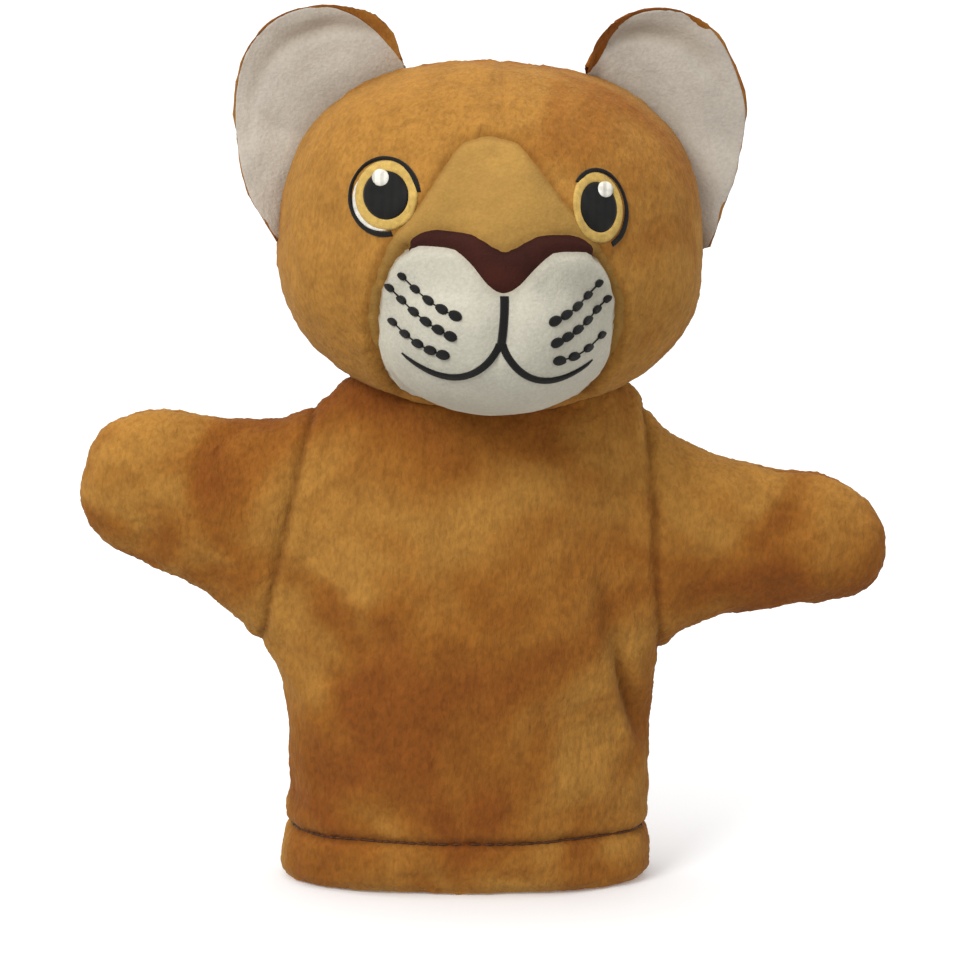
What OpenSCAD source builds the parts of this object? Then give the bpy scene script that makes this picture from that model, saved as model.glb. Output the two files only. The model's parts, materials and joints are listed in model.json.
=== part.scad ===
// Plush lion-cub glove puppet, worn on one hand. Millimetres, +Z up, the face looks towards -Y.
// The origin is the middle of the hand opening, on the lower plane of the hem.
// Left and right are the puppet's own: its left arm is on +X.

/* [Body] */
// Width of the body at the hem
hem_width = 106; // [90:1:130]
// Width of the body above the hem
waist_width = 101; // [86:1:124]
// Width of the body under the arms
underarm_width = 111; // [92:1:134]
// Width of the body at the shoulders
shoulder_width = 94; // [78:1:114]
// Depth of the body, front to back
body_depth = 50; // [40:1:62]
// Height from the hem to the top of the body panels
body_height = 129; // [108:1:155]
// Height of the turned-up hem
hem_height = 15; // [10:0.5:24]
// Sideways lean of the body, in degrees
lean = 2.3; // [0:0.1:4]
// Thickness of the plush
cloth = 1.8; // [1.2:0.1:2.4]
// Gap left along each seam
seam_gap = 0.35; // [0.3:0.05:0.5]

/* [Head] */
// Width of the head
head_width = 117; // [98:1:140]
// Depth of the head without the snout
head_depth = 88; // [74:1:106]
// Height of the head
head_height = 95; // [80:1:114]
// How far the snout stands out from the face
snout_out = 20; // [14:0.5:24]
// Width of the muzzle
muzzle_width = 64; // [54:1:76]
// Height of the muzzle
muzzle_height = 49; // [41:1:58]
// Radius of each ear's round edge
ear_radius = 29; // [24:0.5:34]
// Radius of the finger pocket
pocket_radius = 10.5; // [9:0.25:12.5]
// Depth of the finger pocket above the underside of the head
pocket_depth = 46; // [38:1:56]

/* [Arms] */
// Length of the left arm, armhole to tip
left_arm_length = 68; // [57:1:81]
// Length of the right arm, armhole to tip
right_arm_length = 68; // [57:1:81]
// Height of an arm where it leaves the sleeve root
arm_height = 48; // [40:1:56]
// Thickness of an arm, front to back
arm_depth = 27; // [22:1:32]
// Height of the armholes
armhole_height = 58; // [49:1:66]
// Rise of the left arm above level, in degrees
left_arm_rise = -3; // [-15:1:20]
// Rise of the right arm above level, in degrees
right_arm_rise = 15; // [-15:1:20]

/* [Face] */
// Radius of each eye's outline
eye_radius = 9.6; // [8:0.1:11.5]
// Radius of each pupil
pupil_radius = 5.8; // [4.8:0.1:6.6]
// Distance between the middles of the eyes
eye_spacing = 60; // [50:1:66]
// Width of the embroidered mouth line
mouth_line = 2.4; // [1.8:0.1:3]
// Size of one whisker dot
whisker_dot = 2.6; // [2:0.1:3]

/* [Hidden] */

tan_plush = "#b5803c";
snout_velour = "#c4965a";
white_velour = "#d8d3c2";
ear_velour = "#d2cabb";
nose_brown = "#451f14";
thread_black = "#1c1916";
iris_gold = "#b98a3c";
fibre = "#ecebe6";

// ---- body ----
section_power = 2.6;      // how square the body's oval section is
hem_top = hem_height;
armhole_depth = arm_depth + 2;
armhole_left_z = body_height * 0.752;
armhole_right_z = body_height * 0.768;
neck_width = 0.78 * shoulder_width;
neck_depth = 0.8 * body_depth;
neck_clear = 1.1;         // the neck band's top edge below the head
groove = 0.9;             // depth of the stitched groove above the hem
facing_cloth = 1.1;       // thickness of the turned-up edge
thread_r = 0.45;
label_w = 12;
label_h = 22;
label_t = 0.4;

// ---- head ----
head_power = 2.4;
head_z = body_height + 53;
head_x = head_z * tan(lean);
head_roll = 2.5;          // the head leans a little to its left
head_yaw = 3;             // and looks a little to its left
skin = 1.6;
skin_in = -skin;
stuffing_off = skin_in - 3 * seam_gap;
muzzle_z = -22;
muzzle_y = -26;
muzzle_out = head_depth / 2 + snout_out + muzzle_y;
muzzle_power = 2.2;
chin_y = -neck_depth / 2 - cloth - 2;  // where the muzzle panel tucks in under the chin
layer = 0.15;             // gap round each patch of embroidery
lift = 0.75;              // gap under the embroidery on the muzzle
eye_lift = 0.3;           // gap under the embroidery of the eyes
stitch_h = 0.6;
nose_h = 0.9;
ear_cloth = 1.7;
ear_y = 2;
pocket_cloth = 0.8;
pocket_floor = head_z - head_height / 2 + 2.5;

// ---- functions ----
function spow(v, e) = sign(v) * pow(abs(v), e);
function mix(a, b, t) = a + (b - a) * t;
function smooth(t) = let (k = min(1, max(0, t))) k * k * (3 - 2 * k);
function flat(rows) = [for (r = rows) for (p = r) p];

// Half the body's width at a height: hem, waist, underarm, shoulder, joined smoothly
underarm_z = body_height / 2;
function half_width(z) =
    z < hem_top ? mix(hem_width, waist_width, smooth(z / hem_top)) / 2
    : z < underarm_z ? mix(waist_width, underarm_width,
                           pow((z - hem_top) / (underarm_z - hem_top), 3)) / 2
    : mix(underarm_width, shoulder_width, smooth((z - underarm_z) / (body_height * 0.36))) / 2;
function half_depth(z) = body_depth / 2 * mix(1, 0.82, smooth((z - underarm_z) / underarm_z));
function lean_x(z) = z * tan(lean);
function body_pt(a, z, off) = [
    lean_x(z) + (half_width(z) + off) * spow(cos(a), 2 / section_power),
    (half_depth(z) + off) * spow(sin(a), 2 / section_power), z];

// Angle from the side seam to the armhole's edge, where the section passes the armhole
function hole_y(z, zc) = let (k = 1 - pow((z - zc) / (armhole_height / 2), 2))
    k > 0 ? armhole_depth / 2 * sqrt(k) : seam_gap / 2;
function hole_a(z, zc) = asin(pow(hole_y(z, zc) / half_depth(z), section_power / 2));

// A wall between two grids of points, closed along its four edges.
// Rows run upwards and columns anticlockwise seen from above, which puts the outside outwards.
module wall(outer, inner) {
    nr = len(outer);
    nc = len(outer[0]);
    n = nr * nc;
    function o(r, c) = r * nc + c;
    faces = concat(
        [for (r = [0:nr - 2]) for (c = [0:nc - 2]) each
            [[o(r, c), o(r + 1, c + 1), o(r, c + 1)], [o(r, c), o(r + 1, c), o(r + 1, c + 1)],
             [n + o(r, c), n + o(r, c + 1), n + o(r + 1, c + 1)],
             [n + o(r, c), n + o(r + 1, c + 1), n + o(r + 1, c)]]],
        [for (c = [0:nc - 2]) each
            [[o(0, c), o(0, c + 1), n + o(0, c + 1)], [o(0, c), n + o(0, c + 1), n + o(0, c)],
             [o(nr - 1, c), n + o(nr - 1, c + 1), o(nr - 1, c + 1)],
             [o(nr - 1, c), n + o(nr - 1, c), n + o(nr - 1, c + 1)]]],
        [for (r = [0:nr - 2]) each
            [[o(r, 0), n + o(r + 1, 0), o(r + 1, 0)], [o(r, 0), n + o(r, 0), n + o(r + 1, 0)],
             [o(r, nc - 1), o(r + 1, nc - 1), n + o(r + 1, nc - 1)],
             [o(r, nc - 1), n + o(r + 1, nc - 1), n + o(r, nc - 1)]]]);
    polyhedron(points = concat(flat(outer), flat(inner)), faces = faces, convexity = 6);
}

// A wall between two grids that close on themselves, such as a sleeve
module ring_wall(outer, inner) {
    nr = len(outer);
    nc = len(outer[0]);
    n = nr * nc;
    function o(r, c) = r * nc + c % nc;
    faces = concat(
        [for (r = [0:nr - 2]) for (c = [0:nc - 1]) each
            [[o(r, c), o(r + 1, c + 1), o(r, c + 1)], [o(r, c), o(r + 1, c), o(r + 1, c + 1)],
             [n + o(r, c), n + o(r, c + 1), n + o(r + 1, c + 1)],
             [n + o(r, c), n + o(r + 1, c + 1), n + o(r + 1, c)]]],
        [for (c = [0:nc - 1]) each
            [[o(0, c), o(0, c + 1), n + o(0, c + 1)], [o(0, c), n + o(0, c + 1), n + o(0, c)],
             [o(nr - 1, c), n + o(nr - 1, c + 1), o(nr - 1, c + 1)],
             [o(nr - 1, c), n + o(nr - 1, c), n + o(nr - 1, c + 1)]]]);
    polyhedron(points = concat(flat(outer), flat(inner)), faces = faces, convexity = 6);
}

function middle(ring) = [for (k = [0:2]) mean([for (p = ring) p[k]])];
function mean(list) = list * [for (v = list) 1] / len(list);

// A solid skinned over rings, closed at each end round the ring's middle
module skinned(rings) {
    nr = len(rings);
    nc = len(rings[0]);
    first = nr * nc;
    last = first + 1;
    function o(r, c) = r * nc + c % nc;
    faces = concat(
        [for (r = [0:nr - 2]) for (c = [0:nc - 1]) each
            [[o(r, c), o(r + 1, c + 1), o(r, c + 1)], [o(r, c), o(r + 1, c), o(r + 1, c + 1)]]],
        [for (c = [0:nc - 1]) [o(0, c), o(0, c + 1), first]],
        [for (c = [0:nc - 1]) [o(nr - 1, c + 1), o(nr - 1, c), last]]);
    polyhedron(points = concat(flat(rings), [middle(rings[0]), middle(rings[nr - 1])]),
               faces = faces, convexity = 6);
}

// ---- body pieces ----
body_rows = [
    0, 5, hem_top - 2.4, hem_top, hem_top + 2.4, 28, 42, 54,
    for (k = [0:1:8]) mix(armhole_left_z - armhole_height / 2, body_height - 3, k / 8),
    body_height];
function groove_at(z) = abs(z - hem_top) < 0.1 ? groove : 0;
function panel_grid(a_from, a_to, off, n) = [
    for (z = body_rows) [
        for (i = [0:n])
            let (a = mix(a_from == 0 ? hole_a(z, armhole_left_z) : 180 + hole_a(z, armhole_right_z),
                         a_to == 180 ? 180 - hole_a(z, armhole_right_z)
                                     : 360 - hole_a(z, armhole_left_z), i / n))
            body_pt(a, z, off - groove_at(z))]];

module torso_panel(a_from) {
    wall(panel_grid(a_from, a_from + 180, 0, 14), panel_grid(a_from, a_from + 180, -cloth, 14));
}

module torso_front() {
    color(tan_plush) torso_panel(180);
}

module torso_back() {
    color(tan_plush) torso_panel(0);
}

function body_ring(z, off, n) = [for (i = [0:n - 1]) body_pt(360 * i / n, z, off)];

module hem_facing() {
    outside = -cloth - seam_gap;
    rows = [0.6, 5, hem_top - 3.5];
    color(tan_plush) ring_wall(
        [for (z = rows) body_ring(z, outside, 32)],
        [for (z = rows) body_ring(z, outside - facing_cloth, 32)]);
}

module hem_stitching() {
    thread_z = hem_top;
    out = -groove + 0.15;
    color(thread_black) ring_wall(
        [for (dz = [-thread_r, thread_r]) body_ring(thread_z + dz * 0.6, out + 2 * thread_r, 32)],
        [for (dz = [-thread_r, thread_r]) body_ring(thread_z + dz * 0.6, out + thread_r, 32)]);
}

module care_label() {
    inside = half_width(label_h) - cloth - facing_cloth - 2 * seam_gap - 0.8;
    color(fibre)
        translate([lean_x(label_h) - inside, 0, hem_top - 2])
            rotate([0, -1.2 * lean, 0])
                translate([0, -label_w / 2, 0]) cube([label_t, label_w, label_h]);
}

// The underside of the head below a point of its plan, allowing for the head's lean
function head_under(x, y) =
    head_z - head_height / 2 * pow(max(0.02, 1
        - pow(abs(x - head_x) / (head_width / 2), head_power)
        - pow(abs(y) / (head_depth / 2), head_power)), 1 / head_power)
    - (x - head_x) * tan(head_roll);

module neck_band() {
    n = 32;
    base = body_height + seam_gap;
    function at(a, t, off) = let (
        w = mix(half_width(body_height), neck_width / 2, t) + off,
        d = mix(half_depth(body_height), neck_depth / 2, t) + off,
        cx = mix(lean_x(body_height), head_x, t),
        x = cx + w * spow(cos(a), 2 / section_power),
        y = d * spow(sin(a), 2 / section_power))
        [x, y, mix(base, max(base + 1, head_under(x, y) - neck_clear), t)];
    color(tan_plush) ring_wall(
        [for (t = [0, 0.5, 1]) [for (i = [0:n - 1]) at(360 * i / n, t, 0)]],
        [for (t = [0, 0.5, 1]) [for (i = [0:n - 1]) at(360 * i / n, t, -cloth)]]);
}

// ---- arms ----
// s runs from the armhole (0) to the tip (1); the arm's own frame has +X along it and +Z across it
root_length = 19;
function arm_half(s) =
    arm_height / 2 * mix(1, 0.8, smooth((s - 0.15) / 0.6))
    * pow(max(0.0025, 1 - pow(max(0, (s - 0.62) / 0.38), 2.6)), 1 / 2.6);
function arm_thick(s) =
    arm_depth / 2 * pow(max(0.0009, 1 - pow(max(0, (s - 0.55) / 0.45), 2.4)), 1 / 2.4);
function arm_pt(s, a, off, len) = [
    s * len + off * max(0, (s - 0.7) / 0.3),
    (arm_thick(s) + off) * spow(cos(a), 0.9),
    (arm_half(s) + off) * sin(a)];
module arm_panel(len, side) {
    // side is -1 for the front panel and 1 for the back one
    n = 10;
    s0 = root_length / len;
    steps = [s0, mix(s0, 0.5, 0.35), mix(s0, 0.5, 0.7), 0.54, 0.66, 0.76, 0.84, 0.9, 0.95, 0.98, 0.996];
    lead = 3;            // keeps the two panels apart along their seam
    function grid(off) = [for (i = [n:-1:0])
        let (a = side < 0 ? mix(90 + lead, 270 - lead, i / n) : mix(-90 + lead, 90 - lead, i / n))
        [for (s = steps) arm_pt(s, a, max(off, -0.85 * arm_thick(s)), len)]];
    wall(grid(0), grid(-cloth));
}

// Places a piece of an arm: side is 1 for the left arm, on +X, and -1 for the right arm
function arm_z(side) = side > 0 ? armhole_left_z : armhole_right_z;
function arm_x(side) = lean_x(arm_z(side)) + side * (half_width(arm_z(side)) - 2);
module at_arm(side) {
    translate([arm_x(side), 0, arm_z(side)])
        mirror([side > 0 ? 0 : 1, 0, 0])
            rotate([0, side > 0 ? -left_arm_rise : -right_arm_rise, 0]) children();
}

// A point of the armhole's edge on the body, moved in by inset and out by stand_off
function armhole_pt(side, a, inset) = let (
    zc = arm_z(side),
    y = (armhole_depth / 2 - inset) * cos(a),
    z = zc + (armhole_height / 2 - inset) * sin(a),
    reach = half_width(z) * pow(1 - pow(abs(y) / half_depth(z), section_power), 1 / section_power))
    [lean_x(z) + side * (reach + 2 * seam_gap), y, z];

// The flared root of an arm, from its armhole to the arm's own panels
module sleeve_root(side) {
    n = 28;
    len = side > 0 ? left_arm_length : right_arm_length;
    rise = side > 0 ? left_arm_rise : right_arm_rise;
    s_end = (root_length - 2 * seam_gap) / len;
    function at(a, t, inset) = let (
        p = arm_pt(s_end, a, -inset, len),
        end = [arm_x(side) + side * (p.x * cos(rise) - p.z * sin(rise)), p.y,
               arm_z(side) + p.x * sin(rise) + p.z * cos(rise)],
        start = armhole_pt(side, a, 2 * seam_gap + inset))
        [mix(start.x, end.x, t), mix(start.y, end.y, t), mix(start.z, end.z, pow(t, 0.8))];
    ts = [0, 0.3, 0.65, 1];
    function grid(inset) = [for (t = ts) [for (i = [0:n - 1]) at(side * 360 * i / n, t, inset)]];
    ring_wall(grid(0), grid(cloth));
}

module sleeve_root_left() { color(tan_plush) sleeve_root(1); }
module sleeve_root_right() { color(tan_plush) sleeve_root(-1); }
module arm_left_front() { color(tan_plush) at_arm(1) arm_panel(left_arm_length, -1); }
module arm_left_back() { color(tan_plush) at_arm(1) arm_panel(left_arm_length, 1); }
module arm_right_front() { color(tan_plush) at_arm(-1) arm_panel(right_arm_length, -1); }
module arm_right_back() { color(tan_plush) at_arm(-1) arm_panel(right_arm_length, 1); }

// ---- head ----
// The head's frame has its origin in the middle of the head and the face towards -Y.
module at_head() {
    translate([head_x, 0, head_z]) rotate([0, head_roll, head_yaw]) children();
}

function swell(x, z) =
    snout_out * exp(-pow(abs(x) / (muzzle_width * 0.42), 2.6))
    * exp(-pow((z + 8) / (head_height * 0.26), 2));
function head_radius(d, off) = 1 / pow(
    pow(abs(d.x) / (head_width / 2 + off), head_power)
    + pow(abs(d.y) / (head_depth / 2 + off), head_power)
    + pow(abs(d.z) / (head_height / 2 + off), head_power), 1 / head_power);
// A point of the head's skin: az turns from the front towards +X, el is up from level
function head_pt(az, el, off) = let (
    d = [cos(el) * sin(az), -cos(el) * cos(az), sin(el)],
    p = d * head_radius(d, off),
    front = max(0, cos(az)))
    [p.x, p.y - swell(p.x, p.z) * smooth(3 * front), p.z];
// The same skin at a place seen from the front
function face_y(x, z, off) =
    -(head_depth / 2 + off) * pow(max(0, 1
        - pow(abs(x) / (head_width / 2 + off), head_power)
        - pow(abs(z) / (head_height / 2 + off), head_power)), 1 / head_power) - swell(x, z);
function face_pt(x, z, off) = [x, face_y(x, z, off), z];

// The muzzle is a ball pushed out of the lower face, and never lies under the skin behind it
function muzzle_pt(x, z, off) = let (
    a = muzzle_width / 2 + off,
    c = muzzle_height / 2 + off,
    k = 1 - pow(abs(x) / a, muzzle_power) - pow(abs(z - muzzle_z) / c, muzzle_power),
    ball = muzzle_y - (muzzle_out + off) * pow(max(0, k), 1 / muzzle_power))
    [x, min(ball, face_y(x, z, off)), z];

module head_stuffing() {
    n = 28;
    els = [-86, -72, -60, -48, -36, -24, -12, 0, 12, 24, 36, 48, 60, 72, 86];
    color(fibre) difference() {
        at_head() skinned([for (el = els) [for (i = [0:n - 1])
            head_pt(360 * i / n, el, stuffing_off)]]);
        translate([head_x, 0, pocket_floor - 30])
            cylinder(r = pocket_radius + pocket_cloth + seam_gap, h = 30 + pocket_depth + pocket_cloth
                + seam_gap, $fn = 96);
    }
}

module finger_pocket() {
    color(tan_plush) translate([head_x, 0, pocket_floor]) difference() {
        cylinder(r = pocket_radius + pocket_cloth, h = pocket_depth + pocket_cloth, $fn = 96);
        translate([0, 0, -1]) cylinder(r = pocket_radius, h = pocket_depth + 1, $fn = 96);
    }
}

muzzle_top_el = 80;
under_el = -66;           // the skin's lower edge, round the way in to the finger pocket
top_el = 88;
skin_els = [under_el, -56, -46, -36, -26, -16, -8, 0, 8, 16, 24, 30, 36, 41, 50, 62, 75, top_el];
seam_az = 0.35;

// Half the width of the snout panel at a height of the face
snout_top = head_height * 0.31;
snout_foot = muzzle_z;
snout_half_foot = muzzle_width / 2 + 2.5;
snout_round = 0.15;       // share of the panel's outline that its round top takes
function snout_half(z) = let (t = min(1, max(0, (snout_top - z) / (snout_top - snout_foot))))
    snout_half_foot * (0.16 + 0.84 * sin(90 * t));

// The face panel's inner edge: the middle seam, then the snout's edge, then the muzzle's
function face_edge(z) =
    z > snout_top ? seam_gap / 2
    : z > snout_foot ? snout_half(z) + 5 * seam_gap
    : let (k = 1 - pow((snout_foot - z) / (muzzle_height / 2 + 2), 2))
        (snout_half_foot + 3 * seam_gap) * sqrt(max(0.4, k));

// The turn at which a row of the skin meets that edge, found by halving
function edge_az(el, low, high, steps) = let (m = (low + high) / 2, p = head_pt(m, el, 0))
    steps == 0 ? high
    : p.x < face_edge(p.z) ? edge_az(el, m, high, steps - 1) : edge_az(el, low, m, steps - 1);
function face_start(el) = edge_az(el, 0, 85, 12);
module skin_panel(from_fn, az_to) {
    n = 12;
    function grid(off) = [for (el = skin_els) [for (i = [0:n])
        head_pt(mix(from_fn == "face" ? face_start(el) : from_fn, az_to, i / n), el, off)]];
    wall(grid(0), grid(skin_in));
}
back_seam = 180 - seam_az;
module face_left() { color(tan_plush) at_head() skin_panel("face", 90 - seam_az); }
module face_right() { color(tan_plush) at_head() mirror([1, 0, 0]) skin_panel("face", 90 - seam_az); }
module head_back_left() { color(tan_plush) at_head() skin_panel(90 + seam_az, back_seam); }
module head_back_right() {
    color(tan_plush) at_head() mirror([1, 0, 0]) skin_panel(90 + seam_az, back_seam);
}

// The muzzle panel's upper edge
function muzzle_edge(x) = muzzle_z + muzzle_height / 2 * sin(muzzle_top_el)
    * pow(max(0, 1 - pow(abs(x) / (muzzle_width / 2), muzzle_power)), 1 / muzzle_power);

// A curved triangle: its foot follows the muzzle and its two sides rise to a round top
module snout_panel() {
    n = 20;
    m = 9;
    function foot(t) = let (x = snout_half_foot * t) [x, muzzle_edge(x) + 1.5 * seam_gap];
    function side(t) = let (
        down = max(0, abs(t) - snout_round) / (1 - snout_round),
        z = mix(snout_top - seam_gap, snout_foot, pow(down, 1.15)))
        [sign(t) * snout_half(z) * min(1, abs(t) / snout_round), z];
    function grid(off) = [for (j = [0:m]) [for (i = [0:n])
        let (t = 0.97 * (2 * i / n - 1), p = mix(foot(t), side(t), j / m))
        face_pt(p[0], p[1], off)]];
    color(snout_velour) at_head() wall(grid(0), grid(skin_in));
}

// The nose: a broad V with rounded shoulders, lying on the muzzle and the snout
nose_top = muzzle_z + muzzle_height / 2 + 2.5;
nose_half = muzzle_width * 0.4;
nose_tip = nose_top - 18;
module nose_patch() {
    n = 12;
    function top(x) = nose_top - 3.4 * pow(abs(x) / nose_half, 3) - 1.2 * exp(-pow(x / 5, 2));
    function low(x) = let (t = abs(x) / nose_half)
        mix(nose_tip, nose_top - 5.2, pow(min(1, t), 0.62));
    xs = [for (k = [0:n]) mix(-nose_half, nose_half, k / n)];
    function grid(off) = [for (t = [0, 0.33, 0.67, 1]) [for (x = xs)
        muzzle_pt(x, mix(low(x), top(x) - 0.4, t), off)]];
    color(nose_brown) at_head() wall(grid(lift + nose_h), grid(lift));
}

module muzzle_panel() {
    n = 18;
    els = [-78, -66, -52, -38, -22, -6, 10, 26, 40, 54, 68, muzzle_top_el];
    a = muzzle_width / 2 - 0.3;
    c = muzzle_height / 2 - 0.3;
    // across the muzzle, rows turn about its left-to-right axis
    function at(k, el, off) = let (
        x = a * sin(86 * k),
        z = muzzle_z + (c + off) * sin(el)
            * pow(max(0.0004, 1 - pow(abs(sin(86 * k)), muzzle_power)), 1 / muzzle_power))
        muzzle_pt(x, z, off);
    // the lowest row tucks up against the underside of the head
    function tuck(k, off) = let (x = a * sin(86 * k) * 0.6, y = chin_y + 3 * pow(k, 2))
        [x, y, head_under(head_x + x, y) - head_z + x * tan(head_roll) - off];
    function chin(k, off) = let (x = a * sin(86 * k))
        [x * 0.85, mix(chin_y - 1, at(k, els[0], off).y, 0.35),
         muzzle_z - (c + off) * pow(max(0.0004, 1 - pow(abs(sin(86 * k)), muzzle_power)),
             1 / muzzle_power)];
    function grid(off) = concat(
        [[for (i = [0:n]) tuck(2 * i / n - 1, off)]],
        [[for (i = [0:n]) chin(2 * i / n - 1, off)]],
        [for (el = els) [for (i = [0:n]) at(2 * i / n - 1, el, off)]]);
    color(white_velour) at_head() wall(grid(0), grid(-skin));
}

// A stitched line on the muzzle, through points given as [x, z, width]
module stitched_line(points) {
    n = len(points);
    function dir(i) = let (d = [points[min(n - 1, i + 1)][0] - points[max(0, i - 1)][0],
                                points[min(n - 1, i + 1)][1] - points[max(0, i - 1)][1]]) d / norm(d);
    function grid(off) = [for (k = [-1, 0, 1]) [for (i = [0:n - 1])
        let (d = dir(i), w = points[i][2] / 2 * k)
        muzzle_pt(points[i][0] - d[1] * w, points[i][1] + d[0] * w, off)]];
    wall(grid(lift + stitch_h), grid(lift));
}

mouth_top = nose_tip - 0.8;
mouth_fork = mouth_top - 13;
lip_drop = 9.5;
lip_reach = muzzle_width * 0.38;
module mouth_embroidery() {
    m = mouth_line;
    color(thread_black) at_head() {
        stitched_line([for (k = [0:4]) [0.3 * sin(45 * k), mix(mouth_fork, mouth_top, k / 4), m]]);
        for (s = [-1, 1]) mirror([s > 0 ? 0 : 1, 0, 0])
            stitched_line([for (k = [0:9]) let (t = k / 9)
                [m * 0.3 + lip_reach * t, mouth_fork - 0.6 - lip_drop * sin(150 * pow(t, 0.8)),
                 m * mix(0.9, 0.25, pow(t, 2))]]);
    }
}

// Three rows of dots on each cheek of the muzzle
module whiskers() {
    for (row = [0:2]) for (k = [0:4]) {
        x = muzzle_width * (0.2 + 0.062 * k);
        z = muzzle_z + 7 - 6.2 * row + (2 - row) * 0.8 * k;
        p = muzzle_pt(x, z, lift);
        turn = 60 * (x / (muzzle_width / 2));
        translate(p) rotate([90 + 12 * row, 0, turn * 0.9]) cylinder(d = whisker_dot, h = stitch_h, $fn = 8);
    }
}
module whisker_embroidery_left() { color(thread_black) at_head() whiskers(); }
module whisker_embroidery_right() { color(thread_black) at_head() mirror([1, 0, 0]) whiskers(); }

// ---- eyes ----
eye_up = head_height * 0.155;
eye_ring = 0.9;
white_ring = 1;
module eye_ring_patch(r_in, r_out) {
    n = 24;
    function at(r, i, off) = face_pt(eye_spacing / 2 + r * cos(360 * i / n) * 0.94,
                                     eye_up + r * sin(360 * i / n), off);
    function ring(r, off) = [for (i = [0:n - 1]) at(r, i, off)];
    ring_wall([ring(r_out, eye_lift), ring(r_out, eye_lift + stitch_h)],
              [ring(r_in, eye_lift), ring(r_in, eye_lift + stitch_h)]);
}
module eye_disc(r, dx, dz, base) {
    n = 20;
    function ring(k, off) = [for (i = [0:n - 1])
        face_pt(eye_spacing / 2 + dx + r * k * cos(360 * i / n) * 0.94,
                eye_up + dz + r * k * sin(360 * i / n), off)];
    skinned([ring(1, base), ring(1, base + stitch_h), ring(0.5, base + stitch_h + 0.1)]);
}
module eye_outline() { color(thread_black) eye_ring_patch(eye_radius - eye_ring, eye_radius); }
module eye_white() {
    color(white_velour) eye_ring_patch(eye_radius - eye_ring - layer - white_ring,
                                       eye_radius - eye_ring - layer);
}
module iris() {
    color(iris_gold) eye_ring_patch(pupil_radius + layer,
                                    eye_radius - eye_ring - white_ring - 2 * layer);
}
module pupil() { color(thread_black) eye_disc(pupil_radius, 0, 0, eye_lift); }
module highlight() { color(white_velour) eye_disc(2.2, 0, 3, eye_lift + stitch_h + 0.35); }
module left_eye() { at_head() children(); }
module right_eye() { at_head() mirror([1, 0, 0]) children(); }

module eye_outline_left() { left_eye() eye_outline(); }
module eye_white_left() { left_eye() eye_white(); }
module iris_left() { left_eye() iris(); }
module pupil_left() { left_eye() pupil(); }
module highlight_left() { left_eye() highlight(); }
module eye_outline_right() { right_eye() eye_outline(); }
module eye_white_right() { right_eye() eye_white(); }
module iris_right() { right_eye() iris(); }
module pupil_right() { right_eye() pupil(); }
module highlight_right() { right_eye() highlight(); }

// ---- ears ----
// Each ear is a dished round flap whose inner edge follows the head between its face and back
ear_mid = [head_width * 0.4, head_height * 0.33];
ear_from_el = 57;
ear_to_el = -1;
ear_from = 42;
ear_to = -66;
ear_cup = 7;
function ear_pt(s, t, y) = let (
    el = mix(ear_from_el, ear_to_el, s),
    d = [cos(el), 0, sin(el)],
    p = d * (head_radius(d, 0) + 2 * seam_gap),
    a = mix(180 - ear_from, ear_to, s),
    q = [ear_mid[0] + ear_radius * cos(a), ear_mid[1] + ear_radius * sin(a)],
    x = mix(p.x, q[0], t),
    z = mix(p.z, q[1], t),
    r = norm([x - ear_mid[0], z - ear_mid[1]]) / ear_radius)
    [x, ear_y + y - ear_cup * (r * r - 0.6) * t, z];
module ear_layer(y0, y1) {
    ss = [0.012, 0.05, 0.12, 0.22, 0.34, 0.46, 0.58, 0.7, 0.82, 0.92, 0.985];
    function grid(y) = [for (k = [0:6]) [for (s = ss) ear_pt(s, k / 6, y)]];
    wall(grid(y0), grid(y1));
}
module ear_lining() { color(ear_velour) ear_layer(-ear_cloth - seam_gap / 2, -seam_gap / 2); }
module ear_back() { color(tan_plush) ear_layer(seam_gap / 2, ear_cloth + seam_gap / 2); }
module ear_lining_left() { at_head() ear_lining(); }
module ear_back_left() { at_head() ear_back(); }
module ear_lining_right() { at_head() mirror([1, 0, 0]) ear_lining(); }
module ear_back_right() { at_head() mirror([1, 0, 0]) ear_back(); }

torso_front();
torso_back();
hem_facing();
hem_stitching();
care_label();
neck_band();
sleeve_root_left();
arm_left_front();
arm_left_back();
sleeve_root_right();
arm_right_front();
arm_right_back();
head_stuffing();
finger_pocket();
face_left();
face_right();
head_back_left();
head_back_right();
snout_panel();
nose_patch();
muzzle_panel();
mouth_embroidery();
whisker_embroidery_left();
whisker_embroidery_right();
eye_outline_left();
eye_white_left();
iris_left();
pupil_left();
highlight_left();
eye_outline_right();
eye_white_right();
iris_right();
pupil_right();
highlight_right();
ear_lining_left();
ear_back_left();
ear_lining_right();
ear_back_right();
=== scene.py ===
"""A plush lion-cub hand puppet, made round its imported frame: cloth body, stuffed head, ears and embroidery."""

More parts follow.
